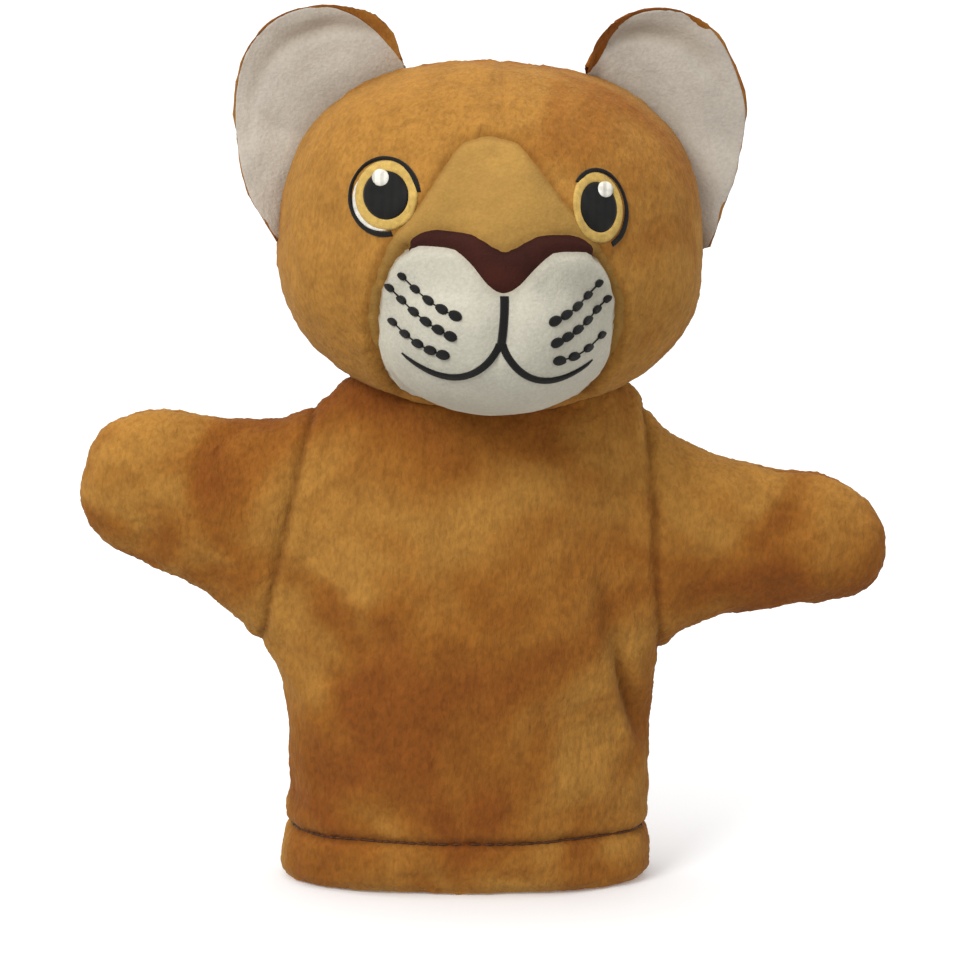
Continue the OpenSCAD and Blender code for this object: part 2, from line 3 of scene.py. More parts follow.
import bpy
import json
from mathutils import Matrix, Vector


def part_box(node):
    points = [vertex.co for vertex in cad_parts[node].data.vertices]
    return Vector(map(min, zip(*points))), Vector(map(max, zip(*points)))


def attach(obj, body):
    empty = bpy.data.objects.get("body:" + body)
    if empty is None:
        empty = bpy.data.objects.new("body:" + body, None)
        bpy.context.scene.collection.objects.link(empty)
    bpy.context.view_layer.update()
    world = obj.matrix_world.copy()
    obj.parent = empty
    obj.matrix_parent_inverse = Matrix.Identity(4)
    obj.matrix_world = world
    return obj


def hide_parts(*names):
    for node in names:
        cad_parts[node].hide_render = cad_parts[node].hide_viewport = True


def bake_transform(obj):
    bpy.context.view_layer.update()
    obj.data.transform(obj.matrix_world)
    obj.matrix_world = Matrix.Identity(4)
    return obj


bl_info = {
    "name": "Plush hand puppet",
    "version": (1, 0, 0),
    "blender": (4, 5, 0),
    "location": "3D View > Sidebar > Puppet",
    "description": "Makes a plush lion-cub hand puppet round its packed frame",
    "category": "Add Mesh",
}

import json
import math

import bmesh
import bpy
import numpy as np
from bpy.props import FloatProperty, FloatVectorProperty, PointerProperty
from mathutils import Matrix, Vector, noise
from mathutils.bvhtree import BVHTree
from mathutils.kdtree import KDTree

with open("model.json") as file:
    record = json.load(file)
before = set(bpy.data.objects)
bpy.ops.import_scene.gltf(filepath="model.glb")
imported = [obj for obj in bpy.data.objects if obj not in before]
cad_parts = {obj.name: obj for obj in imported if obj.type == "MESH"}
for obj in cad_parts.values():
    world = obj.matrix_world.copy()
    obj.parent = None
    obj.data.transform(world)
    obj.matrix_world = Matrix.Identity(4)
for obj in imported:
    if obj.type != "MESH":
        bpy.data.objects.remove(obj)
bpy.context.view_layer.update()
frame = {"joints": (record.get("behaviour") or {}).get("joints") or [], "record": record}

MM = 0.001
JOINTS = {j["name"]: j for j in frame["joints"]}


# ---- places that come from the frame ----
POCKET_MOUNT = next(m for m in frame["record"]["mounts"] if m["name"] == "finger_pocket_head")
POCKET = Vector(POCKET_MOUNT["pos_m"])
POCKET_R, POCKET_UP = (POCKET_MOUNT["dims"][key] * MM for key in ("r_mm", "length_mm"))
SHOULDER = {side: Vector(JOINTS[f"arm_{side}_swing"]["pos_m"]) for side in ("left", "right")}
SIDE = {"left": 1, "right": -1}
HEM_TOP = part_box("hem_stitching")[0].z

# The head's own frame has its origin in the middle of the head and the face towards -Y.
HEAD_UP = 45 * MM
HEAD_MIDDLE = Vector((POCKET.x, 0, POCKET.z + HEAD_UP))
HEAD_ROLL = math.radians(2.5)
HEAD_YAW = math.radians(3)
HEAD_FRAME = (Matrix.Translation(HEAD_MIDDLE) @ Matrix.Rotation(HEAD_YAW, 4, "Z")
              @ Matrix.Rotation(HEAD_ROLL, 4, "Y"))


def measured(name, description, default, least, most):
    """A length that a user may change."""
    return FloatProperty(name=name, description=description, default=default, min=least, max=most, unit="LENGTH")


def dyed(name, description, default):
    """A colour that a user may change."""
    return FloatVectorProperty(name=name, description=description, default=default, size=3, min=0, max=1,
                               subtype="COLOR")


class PuppetSizes(bpy.types.PropertyGroup):
    """Sizes of the puppet that a user would change."""

    cloth: measured("Cloth", "Thickness of the plush", 1.5 * MM, 0.5 * MM, 3 * MM)
    pile: measured("Pile", "Height of the uneven pile", 0.33 * MM, 0, 1 * MM)
    seam: measured("Seam depth", "How far a seam draws the cloth in", 1.35 * MM, 0, 3 * MM)
    puff: measured("Puff", "Most that the cloth may move when it is filled", 4 * MM, 0, 10 * MM)
    thread: measured("Thread", "Height of the embroidery", 0.7 * MM, 0.2 * MM, 1.5 * MM)


class PuppetColours(bpy.types.PropertyGroup):
    """Colours of the puppet's cloth and thread."""

    plush: dyed("Plush", "Main colour of the plush", (0.30, 0.110, 0.015))
    plush_dark: dyed("Plush against the nap", "Where the pile lies towards you", (0.238, 0.072, 0.010))
    plush_light: dyed("Plush with the nap", "Where the pile lies away from you", (0.40, 0.190, 0.036))
    snout: dyed("Snout", "Short pile of the snout panel", (0.40, 0.222, 0.052))
    muzzle: dyed("Muzzle", "White velour of the muzzle", (0.57, 0.54, 0.44))
    lining: dyed("Ear lining", "Pale velour inside the ears", (0.54, 0.485, 0.41))
    nose: dyed("Nose", "Dark velour of the nose", (0.042, 0.009, 0.005))
    black: dyed("Black thread", "Mouth, whiskers and eyes", (0.006, 0.0055, 0.005))
    gold: dyed("Gold thread", "Ring of each eye", (0.66, 0.43, 0.11))
    white: dyed("White thread", "Highlights and eye whites", (0.80, 0.77, 0.68))


def sizes():
    return bpy.context.scene.puppet_sizes


def colours():
    return bpy.context.scene.puppet_colours


# ---- arithmetic ----
def mix(a, b, t):
    return a + (b - a) * t


def smooth(t):
    k = np.clip(t, 0, 1)
    return k * k * (3 - 2 * k)


def signed_power(v, e):
    return math.copysign(abs(v) ** e, v)


def along(x, pairs):
    """The value at x on a smooth line through a few (x, value) pairs."""
    xs, ys = [p[0] for p in pairs], [p[1] for p in pairs]
    if x <= xs[0]:
        return ys[0]
    if x >= xs[-1]:
        return ys[-1]
    i = max(k for k in range(len(xs) - 1) if xs[k] <= x)
    slope = [(ys[min(k + 1, len(ys) - 1)] - ys[max(k - 1, 0)])
             / (xs[min(k + 1, len(xs) - 1)] - xs[max(k - 1, 0)]) for k in (i, i + 1)]
    h = xs[i + 1] - xs[i]
    t = (x - xs[i]) / h
    return ((2 * t ** 3 - 3 * t ** 2 + 1) * ys[i] + (t ** 3 - 2 * t ** 2 + t) * h * slope[0]
            + (3 * t ** 2 - 2 * t ** 3) * ys[i + 1] + (t ** 3 - t ** 2) * h * slope[1])


# ---- mesh helpers ----
def new_object(name, mesh):
    ob = bpy.data.objects.new(name, mesh)
    bpy.context.scene.collection.objects.link(ob)
    return ob


def mesh_from(bm, name):
    mesh = bpy.data.meshes.new(name)
    bm.to_mesh(mesh)
    bm.free()
    return mesh


def edit(mesh):
    bm = bmesh.new()
    bm.from_mesh(mesh)
    return bm


def applied(ob):
    """Applies the object's modifiers to its mesh."""
    depsgraph = bpy.context.evaluated_depsgraph_get()
    depsgraph.update()
    mesh = bpy.data.meshes.new_from_object(ob.evaluated_get(depsgraph))
    ob.modifiers.clear()
    ob.data = mesh
    return ob


def points(mesh):
    co = np.empty(len(mesh.vertices) * 3, np.float64)
    mesh.vertices.foreach_get("co", co)
    return co.reshape(-1, 3)


def normals(mesh):
    no = np.empty(len(mesh.vertices) * 3, np.float32)
    mesh.vertex_normals.foreach_get("vector", no)
    return no.reshape(-1, 3).astype(float)


def set_points(mesh, co):
    mesh.vertices.foreach_set("co", co.astype(np.float32).ravel())
    mesh.update()


def relax(bm, times):
    """Evens out the mesh by smoothing all its vertices."""
    for _ in range(times):
        bmesh.ops.smooth_vert(bm, verts=bm.verts, factor=0.5, use_axis_x=True, use_axis_y=True, use_axis_z=True)


def thickened(ob, thickness, even=False):
    """Gives a sheet its thickness, inwards."""
    wall = ob.modifiers.new("cloth", "SOLIDIFY")
    wall.thickness = thickness
    wall.offset = -1
    wall.use_quality_normals = even
    return applied(ob)


def skinned(bm, rings, segments):
    """Skins rings, each a function from an angle to a point, and gives each ring's edges."""
    loops = []
    for point in rings:
        made = bmesh.ops.create_circle(bm, segments=segments, radius=1)["verts"]
        loops.append({e for v in made for e in v.link_edges})
        for v in made:
            v.co = point(math.atan2(v.co.y, v.co.x))
        if len(loops) > 1:
            bmesh.ops.bridge_loops(bm, edges=[*loops[-2], *loops[-1]])
    return loops


def rough(co, size, seed=0.0):
    """Smooth noise from -1 to 1 at every point, with lumps of that size."""
    shift = Vector((seed, seed * 0.7, -seed * 1.3))
    return np.array([noise.noise(Vector(p) / size + shift) for p in co])


def shade_smooth(mesh):
    mesh.polygons.foreach_set("use_smooth", [True] * len(mesh.polygons))


def finished(ob, material, body, slot, *replaced):
    """Gives a piece its material, its body and the frame nodes that it stands for; slot, its finish, is not used.
    """
    ob.data.materials.clear()
    ob.data.materials.append(material)
    shade_smooth(ob.data)
    if body:
        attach(ob, body)
    if replaced:
        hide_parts(*replaced)


# ---- materials ----
THREAD_PITCH = 0.38 * MM
BANDS_IN_A_WAVE = 20


class Nodes:
    """A short way to write a material's node tree."""

    def __init__(self, name):
        self.material = bpy.data.materials.new(name)
        self.material.use_nodes = True
        self.tree = self.material.node_tree
        self.shader = self.tree.nodes["Principled BSDF"]
        self.place = self.node("ShaderNodeTexCoord").outputs["Object"]

    def node(self, kind, **values):
        made = self.tree.nodes.new(kind)
        for key, value in values.items():
            if hasattr(made, key):
                setattr(made, key, value)
            else:
                made.inputs[key].default_value = value
        return made

    def link(self, source, target):
        self.tree.links.new(source, target)

    def noise(self, scale, detail=2.0, stretch=None, distortion=0.0):
        """Noise over the piece; stretch is a scale for each axis."""
        texture = self.node("ShaderNodeTexNoise", Scale=scale, Detail=detail, Distortion=distortion)
        source = self.place
        if stretch:
            mapping = self.node("ShaderNodeMapping")
            mapping.inputs["Scale"].default_value = stretch
            self.link(source, mapping.inputs["Vector"])
            source = mapping.outputs["Vector"]
        self.link(source, texture.inputs["Vector"])
        return texture.outputs["Fac"]

    def ramp(self, source, *stops):
        """A colour ramp of (position, colour) stops."""
        ramp = self.node("ShaderNodeValToRGB").color_ramp
        node = self.tree.nodes[-1]
        while len(ramp.elements) < len(stops):
            ramp.elements.new(1.0)
        for element, (position, colour) in zip(ramp.elements, stops):
            element.position = position
            element.color = (*colour, 1)
        self.link(source, node.inputs["Fac"])
        return node.outputs["Color"]

    def blend(self, factor, a, b, how="MIX"):
        node = self.node("ShaderNodeMix", data_type="RGBA", blend_type=how)
        for value, key in ((factor, 0), (a, 6), (b, 7)):
            if isinstance(value, bpy.types.NodeSocket):
                self.link(value, node.inputs[key])
            else:
                node.inputs[key].default_value = value if key == 0 else (*value, 1)
        return node.outputs[2]

    def bump(self, *layers):
        """Bump from (height, strength, distance) layers, the coarsest first."""
        last = None
        for height, strength, distance in layers:
            node = self.node("ShaderNodeBump", Strength=strength, Distance=distance)
            self.link(height, node.inputs["Height"])
            if last:
                self.link(last, node.inputs["Normal"])
            last = node.outputs["Normal"]
        self.link(last, self.shader.inputs["Normal"])

    def painted_fold_shade(self, colour, least=0.5):
        """The colour, darker down in the seams and folds, where painted shade falls."""
        # painted shade: the fold attribute darkens the colour, down to least at the deepest
        depth = self.node("ShaderNodeAttribute", attribute_name="fold").outputs["Fac"]
        shades = self.ramp(depth, (0, (1, 1, 1)), (1, (least, least * 0.85, least * 0.7)))
        return self.blend(1.0, colour, shades, "MULTIPLY")

    def surface(self, colour, roughness, sheen, sheen_tint):
        """Cloth or thread in this colour, soft at its edges by the sheen."""
        self.link(colour, self.shader.inputs["Base Color"])
        self.shader.inputs["Roughness"].default_value = roughness
        self.shader.inputs["Specular IOR Level"].default_value = 0.2
        self.shader.inputs["Sheen Weight"].default_value = sheen
        self.shader.inputs["Sheen Roughness"].default_value = 0.45
        self.shader.inputs["Sheen Tint"].default_value = (*sheen_tint, 1)
        return self.material


def material(name, make):
    """A material by name, made the first time that it is asked for."""
    name = f"puppet_{name}"
    return bpy.data.materials.get(name) or make(name)


def plush_material(name, lightening=0.0):
    """Short golden-brown pile, lighter and darker in broad patches; lightening makes more of it light."""
    n, c = Nodes(name), colours()
    broad = n.noise(19, 2.5, (1, 1, 1.1), 0.7)
    patches = n.ramp(broad, (0.38 - lightening, c.plush_dark), (0.48 - lightening, c.plush),
                     (0.60 - lightening, c.plush_light))
    brushed = n.noise(140, 4, (1, 1, 0.8), 0.6)
    streaks = n.ramp(brushed, (0.3, (0.80, 0.76, 0.72)), (0.52, (0.98, 0.97, 0.96)),
                     (0.72, (1.12, 1.11, 1.09)))
    colour = n.blend(0.7, patches, streaks, "MULTIPLY")
    tips = n.ramp(n.noise(850, 3, (1, 1, 0.55), 0.5), (0.32, (0.74, 0.70, 0.66)), (0.62, (1.12, 1.10, 1.07)))
    # painted shade in the seams and folds
    colour = n.painted_fold_shade(n.blend(0.6, colour, tips, "MULTIPLY"))
    n.bump((n.noise(120, 3, (1, 1, 0.5), 0.8), 0.5, 1.2 * MM), (n.noise(650, 3, (1, 1, 0.4)), 0.75, 0.7 * MM),
           (n.noise(1900, 2, (1, 1, 0.3)), 0.5, 0.3 * MM))
    return n.surface(colour, 0.95, 0.16, (1.0, 0.66, 0.30))


# the head's plush: the same plush, lighter all over
def head_plush_material(name):
    return plush_material(name, 0.10)


def velour_material(name, colour, dark, light, sheen):
    """Shorn velour in one colour: a fine even pile with faint brushing."""
    n = Nodes(name)
    base = Vector(colour)
    patches = n.ramp(n.noise(45, 3, None, 0.8), (0.3, tuple(base * dark)), (0.7, tuple(base * light)))
    fine = n.ramp(n.noise(1000, 3), (0.3, (0.88, 0.88, 0.88)), (0.65, (1.04, 1.04, 1.04)))
    n.bump((n.noise(240, 3), 0.25, 0.6 * MM), (n.noise(1300, 3), 0.6, 0.35 * MM))
    # painted shade in the seams and folds
    colour = n.painted_fold_shade(n.blend(0.8, patches, fine, "MULTIPLY"), 0.6)
    return n.surface(colour, 0.9, sheen, tuple(min(1, v * 1.6) for v in base))


def velour(dye, dark, light, sheen=0.25):
    """A maker of shorn velour in one of the puppet's colours."""
    return lambda name: velour_material(name, getattr(colours(), dye), dark, light, sheen)


snout_material = velour("snout", 0.80, 1.12)
muzzle_material = velour("muzzle", 0.90, 1.06)
lining_material = velour("lining", 0.86, 1.08)
nose_material = velour("nose", 0.7, 1.4, 0.15)


def thread_material(name, colour):
    """Satin stitch: threads side by side across the band, which runs along the piece's U."""
    n = Nodes(name)
    uv = n.node("ShaderNodeTexCoord").outputs["UV"]
    wave = n.node("ShaderNodeTexWave", wave_type="BANDS", bands_direction="X", wave_profile="SIN",
                  Scale=1 / (THREAD_PITCH * BANDS_IN_A_WAVE), Distortion=0.6, Detail=1.0)
    n.link(uv, wave.inputs["Vector"])
    lines = wave.outputs["Fac"]
    base = Vector(colour)
    shades = n.ramp(lines, (0.1, tuple(base * 0.75)), (0.7, tuple(base * 1.08)))
    uneven = n.ramp(n.noise(600, 2), (0.3, (0.8, 0.8, 0.8)), (0.7, (1.1, 1.1, 1.1)))
    n.bump((lines, 0.3, 0.15 * MM), (n.noise(2500, 2), 0.2, 0.1 * MM))
    return n.surface(n.blend(1.0, shades, uneven, "MULTIPLY"), 0.75, 0.1, (1, 1, 1))


def satin(dye):
    """A maker of satin stitch in one of the puppet's colours."""
    return lambda name: thread_material(name, getattr(colours(), dye))


black_thread, gold_thread, white_thread = satin("black"), satin("gold"), satin("white")


def stitch_material(name):
    """Brown sewing thread."""
    n = Nodes(name)
    colour = n.ramp(n.noise(900, 2), (0.3, (0.045, 0.016, 0.006)), (0.7, (0.11, 0.040, 0.012)))
    n.bump((n.noise(2400, 2, (0.3, 0.3, 1)), 0.5, 0.15 * MM))
    return n.surface(colour, 0.6, 0.1, (1, 0.8, 0.6))


def fibre_material(name):
    """Loose white fibre fill."""
    n = Nodes(name)
    colour = n.ramp(n.noise(150, 6, None, 1.5), (0.3, (0.55, 0.54, 0.5)), (0.7, (0.84, 0.83, 0.8)))
    n.bump((n.noise(200, 6, None, 2.0), 0.8, 1.5 * MM), (n.noise(1200, 3, None, 2.0), 0.5, 0.4 * MM))
    return n.surface(colour, 0.95, 0.3, (1, 1, 1))


def backing_material(name):
    """The knitted back of the plush, seen inside the glove: fine ribs."""
    n = Nodes(name)
    wave = n.node("ShaderNodeTexWave", wave_type="BANDS", bands_direction="X", Scale=320, Distortion=0.8)
    n.link(n.place, wave.inputs["Vector"])
    base = Vector(colours().plush_light)
    colour = n.ramp(wave.outputs["Fac"], (0.2, tuple(base * 0.7)), (0.8, tuple(base * 1.15)))
    n.bump((wave.outputs["Fac"], 0.4, 0.3 * MM), (n.noise(900, 2), 0.3, 0.2 * MM))
    return n.surface(colour, 0.85, 0.15, (1, 0.9, 0.75))


def label_material(name):
    """White woven tape."""
    n = Nodes(name)
    checks = n.node("ShaderNodeTexChecker", Scale=3000)
    n.link(n.place, checks.inputs["Vector"])
    n.bump((checks.outputs["Fac"], 0.3, 0.1 * MM))
    colour = n.ramp(checks.outputs["Fac"], (0, (0.72, 0.72, 0.70)), (1, (0.84, 0.84, 0.82)))
    return n.surface(colour, 0.5, 0.1, (1, 1, 1))


def studio_material(name):
    """A plain pale floor."""
    n = Nodes(name)
    colour = n.ramp(n.noise(6, 2), (0.3, (0.91, 0.91, 0.91)), (0.7, (0.94, 0.94, 0.94)))
    n.shader.inputs["Emission Color"].default_value = (1, 1, 1, 1)
    n.shader.inputs["Emission Strength"].default_value = 0.12
    return n.surface(colour, 1.0, 0.0, (1, 1, 1))


# ---- cutting a skin into its panels ----
CUT_EDGE_ANGLE = math.radians(55)
AXES = (Vector((1, 0, 0)), Vector((0, 1, 0)), Vector((0, 0, 1)))
FILL_FRAMES = range(1, 21)


def cut_plane(bm, co, no, keep=None, clear=False):
    """Cuts the mesh along a plane, with its vertices snapped onto it; keep picks the faces that are cut."""
    faces = [f for f in bm.faces if keep is None or keep(f.calc_center_median())]
    edges = {e for f in faces for e in f.edges}
    verts = {v for f in faces for v in f.verts}
    bmesh.ops.bisect_plane(bm, geom=[*verts, *edges, *faces], dist=0.6 * MM, plane_co=co, plane_no=no,
                           use_snap_center=True, clear_outer=clear)


def cut_along(bm, f, keep, reach):
    """Cuts the mesh along the line where f is 0, at points that keep allows; a vertex may slide by reach."""
    bm.verts.ensure_lookup_table()
    bm.normal_update()
    value, on_line, step = {}, set(), 1e-5
    for v in bm.verts:
        if not keep(v.co):
            continue
        here = f(v.co)
        slope = Vector([(f(v.co + step * way) - here) / step for way in AXES])
        slope -= slope.dot(v.normal) * v.normal
        size = slope.length
        if size > 1e-6 and abs(here) / size < reach:
            v.co -= slope * (here / size ** 2)
            on_line.add(v)
            here = 0.0
        value[v] = here
    for e in list(bm.edges):
        a, b = e.verts
        if a in value and b in value and value[a] * value[b] < 0:
            on_line.add(bmesh.utils.edge_split(e, a, value[a] / (value[a] - value[b]))[1])
    bmesh.ops.connect_verts(bm, verts=list(on_line))


def seam_points(mesh, joins):
    """The places where two panels meet that are sewn together, as {depth: [points]}."""
    bm = edit(mesh)
    found = {}
    for v in bm.verts:
        kinds = sorted({f.material_index for f in v.link_faces})
        for i, a in enumerate(kinds):
            for b in kinds[i + 1:]:
                depth = joins(a, b)
                if depth:
                    found.setdefault(depth, []).append(v.co.copy())
    bm.free()
    return found


def near(co, places):
    """Every point's distance from the nearest of these places."""
    tree = KDTree(len(places))
    for i, p in enumerate(places):
        tree.insert(p, i)
    tree.balance()
    return np.array([tree.find(Vector(p))[2] for p in co])


def fill_out(ob, pinned, pressure, most):
    """Fills a closed skin like a stuffed toy by cloth simulation, with its seams held."""
    rest = points(ob.data)
    group = ob.vertex_groups.new(name="seams")
    group.add(pinned, 1.0, "REPLACE")
    cloth = ob.modifiers.new("fill", "CLOTH")
    cloth.settings.quality = 5
    cloth.settings.mass = 0.15
    cloth.settings.tension_stiffness = 12
    cloth.settings.compression_stiffness = 12
    cloth.settings.shear_stiffness = 4
    cloth.settings.bending_stiffness = 0.4
    cloth.settings.use_pressure = True
    cloth.settings.uniform_pressure_force = pressure
    cloth.settings.shrink_min = -0.01
    cloth.settings.vertex_group_mass = "seams"
    cloth.settings.effector_weights.gravity = 0
    cloth.collision_settings.use_collision = False
    scene = bpy.context.scene
    for at in FILL_FRAMES:
        scene.frame_set(at)
    applied(ob)
    scene.frame_set(1)
    moved = points(ob.data) - rest
    length = np.linalg.norm(moved, axis=1)
    scale = most * np.tanh(length / most) / np.maximum(length, 1e-9)
    set_points(ob.data, rest + moved * scale[:, None])


def subdivided(ob, levels):
    sub = ob.modifiers.new("subdivision", "SUBSURF")
    sub.levels = sub.render_levels = levels
    return applied(ob)


def shade(mesh, share):
    """Keeps how deep in a seam or a fold each point lies, from 0 to 1, for the material's painted shade."""
    layer = mesh.attributes.get("fold") or mesh.attributes.new("fold", "FLOAT", "POINT")
    kept = np.zeros(len(mesh.vertices), np.float32)
    layer.data.foreach_get("value", kept)
    layer.data.foreach_set("value", np.maximum(kept, share).astype(np.float32))


def sew(mesh, joins, width):
    """Draws the cloth in along its seams, unevenly, as stitches do, and keeps painted shade along them."""
    co, no = points(mesh), normals(mesh)
    for depth, places in sorted(seam_points(mesh, joins).items()):
        d = near(co, places)
        # painted shade along the seam, for the material
        shade(mesh, min(1, depth / sizes().seam) * np.exp(-(d / (0.8 * width)) ** 2))
        stitches = 1 + 0.35 * rough(co, 2.6 * MM, 3)
        co -= no * (depth * stitches * np.exp(-(d / width) ** 2))[:, None]
        co += no * (0.3 * depth * np.exp(-((d - 2.6 * width) / (1.4 * width)) ** 2))[:, None]
    set_points(mesh, co)


def raise_pile(mesh, height, pile_of):
    """Roughens the skin: clumps of pile, as high as each panel's pile allows."""
    co, no = points(mesh), normals(mesh)
    share = np.zeros(len(co))
    count = np.zeros(len(co))
    loops = np.empty(len(mesh.loops), np.int32)
    mesh.loops.foreach_get("vertex_index", loops)
    kind = np.repeat([pile_of(p.material_index) for p in mesh.polygons], [p.loop_total for p in mesh.polygons])
    np.add.at(share, loops, kind)
    np.add.at(count, loops, 1)
    share /= np.maximum(count, 1)
    clumps = (0.55 * rough(co, 3.2 * MM, 1) + 0.8 * rough(co * (1, 1, 0.6), 1.5 * MM, 2)
              + 0.6 * rough(co, 0.9 * MM, 5))
    set_points(mesh, co + no * (height * share * clumps)[:, None])


def panel(ob, index, name, thickness, place=None):
    """One panel of a sewn skin as its own piece, with the cloth's thickness inwards."""
    bm = edit(ob.data)
    bmesh.ops.delete(bm, geom=[f for f in bm.faces if f.material_index not in index], context="FACES")
    made = new_object(name, mesh_from(bm, name))
    thickened(made, thickness, True)
    bm = edit(made.data)
    for e in bm.edges:
        e.smooth = e.calc_face_angle(0) < CUT_EDGE_ANGLE
    bm.to_mesh(made.data)
    bm.free()
    if place:
        made.data.transform(place)
    return made


# ---- the glove ----
TORSO_FRONT, TORSO_BACK, NECK_LOW, NECK_TOP = range(4)
ARM_PARTS = ("inner", "outer", "front", "back")
FIRST_ARM_PART = NECK_TOP + 1
GLOVE_KINDS = FIRST_ARM_PART + 2 * len(ARM_PARTS)


def arm_part(side, part):
    """The number of a panel of one arm; the left arm's come first."""
    return FIRST_ARM_PART + len(ARM_PARTS) * (side == "right") + ARM_PARTS.index(part)


BODY_POWER = 2.5
BODY_MIDDLES = [(-6, -0.3), (0, -0.2), (15, 0.2), (48, 0.4), (65, 0.6), (100, 3.2), (139, 5.4), (150, 5.8)]
# half the body's width and depth at some heights, in millimetres
BODY_WIDTHS = [(-6, 53.6), (0, 53), (HEM_TOP / MM, 51.6), (30, 51.4), (46, 51.6), (62, 53), (76, 53),
               (92, 50.8), (108, 49.2), (122, 48), (132, 47), (137, 45.2), (140, 43.2),
               (142.5, 40), (145, 34.5), (148, 26)]
BODY_DEPTHS = [(-6, 25), (0, 25), (HEM_TOP / MM, 23.8), (40, 24.6), (80, 25), (106, 23.3), (118, 21),
               (127, 18.2), (133, 15.5), (139, 13), (150, 9)]
# half the height and thickness of an arm at distances from its pivot
ARM_HEIGHTS = {"left": [(-16, 30), (0, 33.5), (6, 31), (14, 26.6), (24, 22.8), (38, 20.8), (50, 19), (58, 17),
                        (64, 13.2), (67.4, 8), (68.6, 2)],
               "right": [(-16, 34), (0, 38), (6, 35.5), (14, 30.6), (24, 26.6), (38, 24), (50, 22), (58, 19.4),
                         (64, 14.4), (67.6, 8.5), (69, 2)]}
ARM_DEPTHS = [(-16, 16), (0, 15.5), (14, 13.8), (40, 13.2), (56, 11.8), (64, 8.4), (67.6, 4.8), (69, 1.5)]
ARM_RISE = {"left": math.radians(-1), "right": math.radians(16)}
# each armhole seam: a point on it, and the way it faces
ARMHOLES = {"left": (Vector((52.8, 0, 97)) * MM, Vector((0.998, 0, 0.066))),
            "right": (Vector((-49.6, 0, 103)) * MM, Vector((-0.974, 0, 0.227)))}
BEND_FROM, BEND_MIDDLE, BEND_TO = 12.5 * MM, 21 * MM, 32 * MM
NECK_FROM, NECK_MIDDLE, NECK_TO = 129 * MM, 136 * MM, 143.5 * MM
# the arms' panels lie above the armpits, and the armholes beyond the chest
ARMPIT_Z, CHEST_HALF = 40 * MM, 30 * MM
# each fold's start and end in the front view, its depth and its width, in millimetres
FOLDS = (((37, 90), (44, 64), 3.0, 3.2), ((42, 72), (51, 41), 5.2, 2.2), ((-44, 92), (-34, 58), 1.0, 6),
         ((-36, 118), (-20, 104), 0.9, 6), ((44, 118), (30, 100), 0.9, 6), ((-6, 60), (8, 24), 0.8, 9),
         ((22, 58), (14, 26), 0.7, 7))


def arm_axis(side):
    rise = ARM_RISE[side]
    return Vector((SIDE[side] * math.cos(rise), 0, math.sin(rise)))


def loft(bm, rings, segments, power):
    """A closed form over rounded rings given as (middle, half width, half depth), each a vector."""
    loops = skinned(bm, [lambda a, m=middle, w=wide, d=deep: m + w * signed_power(math.cos(a), 2 / power)
                         + d * signed_power(math.sin(a), 2 / power) for middle, wide, deep in rings], segments)
    for loop in (loops[0], loops[-1]):
        bmesh.ops.edgeloop_fill(bm, edges=list(loop))


def glove_form():
    """The glove as one closed skin, before it is cut and sewn: body and arms run together."""
    bm = bmesh.new()
    zs = sorted({z for z, _ in BODY_WIDTHS} | {8, 54, 70, 100, 134.5, 141.3, 143.8})
    loft(bm, [(Vector((along(z, BODY_MIDDLES), 0, z)) * MM, Vector((along(z, BODY_WIDTHS), 0, 0)) * MM,
               Vector((0, along(z, BODY_DEPTHS), 0)) * MM) for z in zs], 72, BODY_POWER)
    for side in ("left", "right"):
        axis = arm_axis(side)
        up = axis.cross(Vector((0, SIDE[side], 0)))
        rings = [(SHOULDER[side] + axis * s * MM, up * along(s, ARM_HEIGHTS[side]) * MM,
                  Vector((0, 1, 0)) * along(s, ARM_DEPTHS) * MM)
                 for s in (-16, -8, 0, 5, 10, 16, 24, 32, 40, 48, 54, 58, 61, 64, 66, 67.6, 68.6)]
        loft(bm, rings, 40, 2.1)
    bmesh.ops.recalc_face_normals(bm, faces=bm.faces)
    ob = new_object("glove", mesh_from(bm, "glove"))
    remesh = ob.modifiers.new("remesh", "REMESH")
    remesh.mode = "VOXEL"
    remesh.voxel_size = 3.1 * MM
    return applied(ob)


def crease(co, no, start, end, depth, width):
    """Presses a soft fold into the front of the body, along a line in its front view, and gives how much painted
    shade lies in it.
    """
    a, b = np.array(start) * MM, np.array(end) * MM
    p = co[:, [0, 2]]
    t = np.clip(((p - a) @ (b - a)) / ((b - a) @ (b - a)), 0, 1)
    d = np.linalg.norm(p - (a + t[:, None] * (b - a)), axis=1)
    fade = np.sin(np.pi * np.clip(t, 0.02, 0.98)) ** 0.5
    front = np.clip(-no[:, 1] * 2, 0, 1)
    share = np.exp(-(d / (width * MM)) ** 2) * fade * front
    # the second value is the painted shade down in the fold
    return no * (-depth * MM * share)[:, None], depth / 5 * share ** 2


def drape(mesh):
    """Soft hollows and folds where the hand inside doesn't fill the cloth, with painted shade in the folds."""
    co, no = points(mesh), normals(mesh)
    body = smooth((co[:, 2] - 12 * MM) / (14 * MM)) * smooth((140 * MM - co[:, 2]) / (14 * MM))
    lumps = 1.5 * rough(co * (1, 0.6, 0.55), 24 * MM, 11) + 0.8 * rough(co * (1, 0.6, 0.7), 12 * MM, 12)
    co = co + no * (MM * lumps * (0.35 + 0.65 * body))[:, None]
    for start, end, depth, width in FOLDS:
        moved, painted_fold_shade = crease(co, no, start, end, depth, width)
        co = co + moved
        shade(mesh, painted_fold_shade)
    set_points(mesh, co)


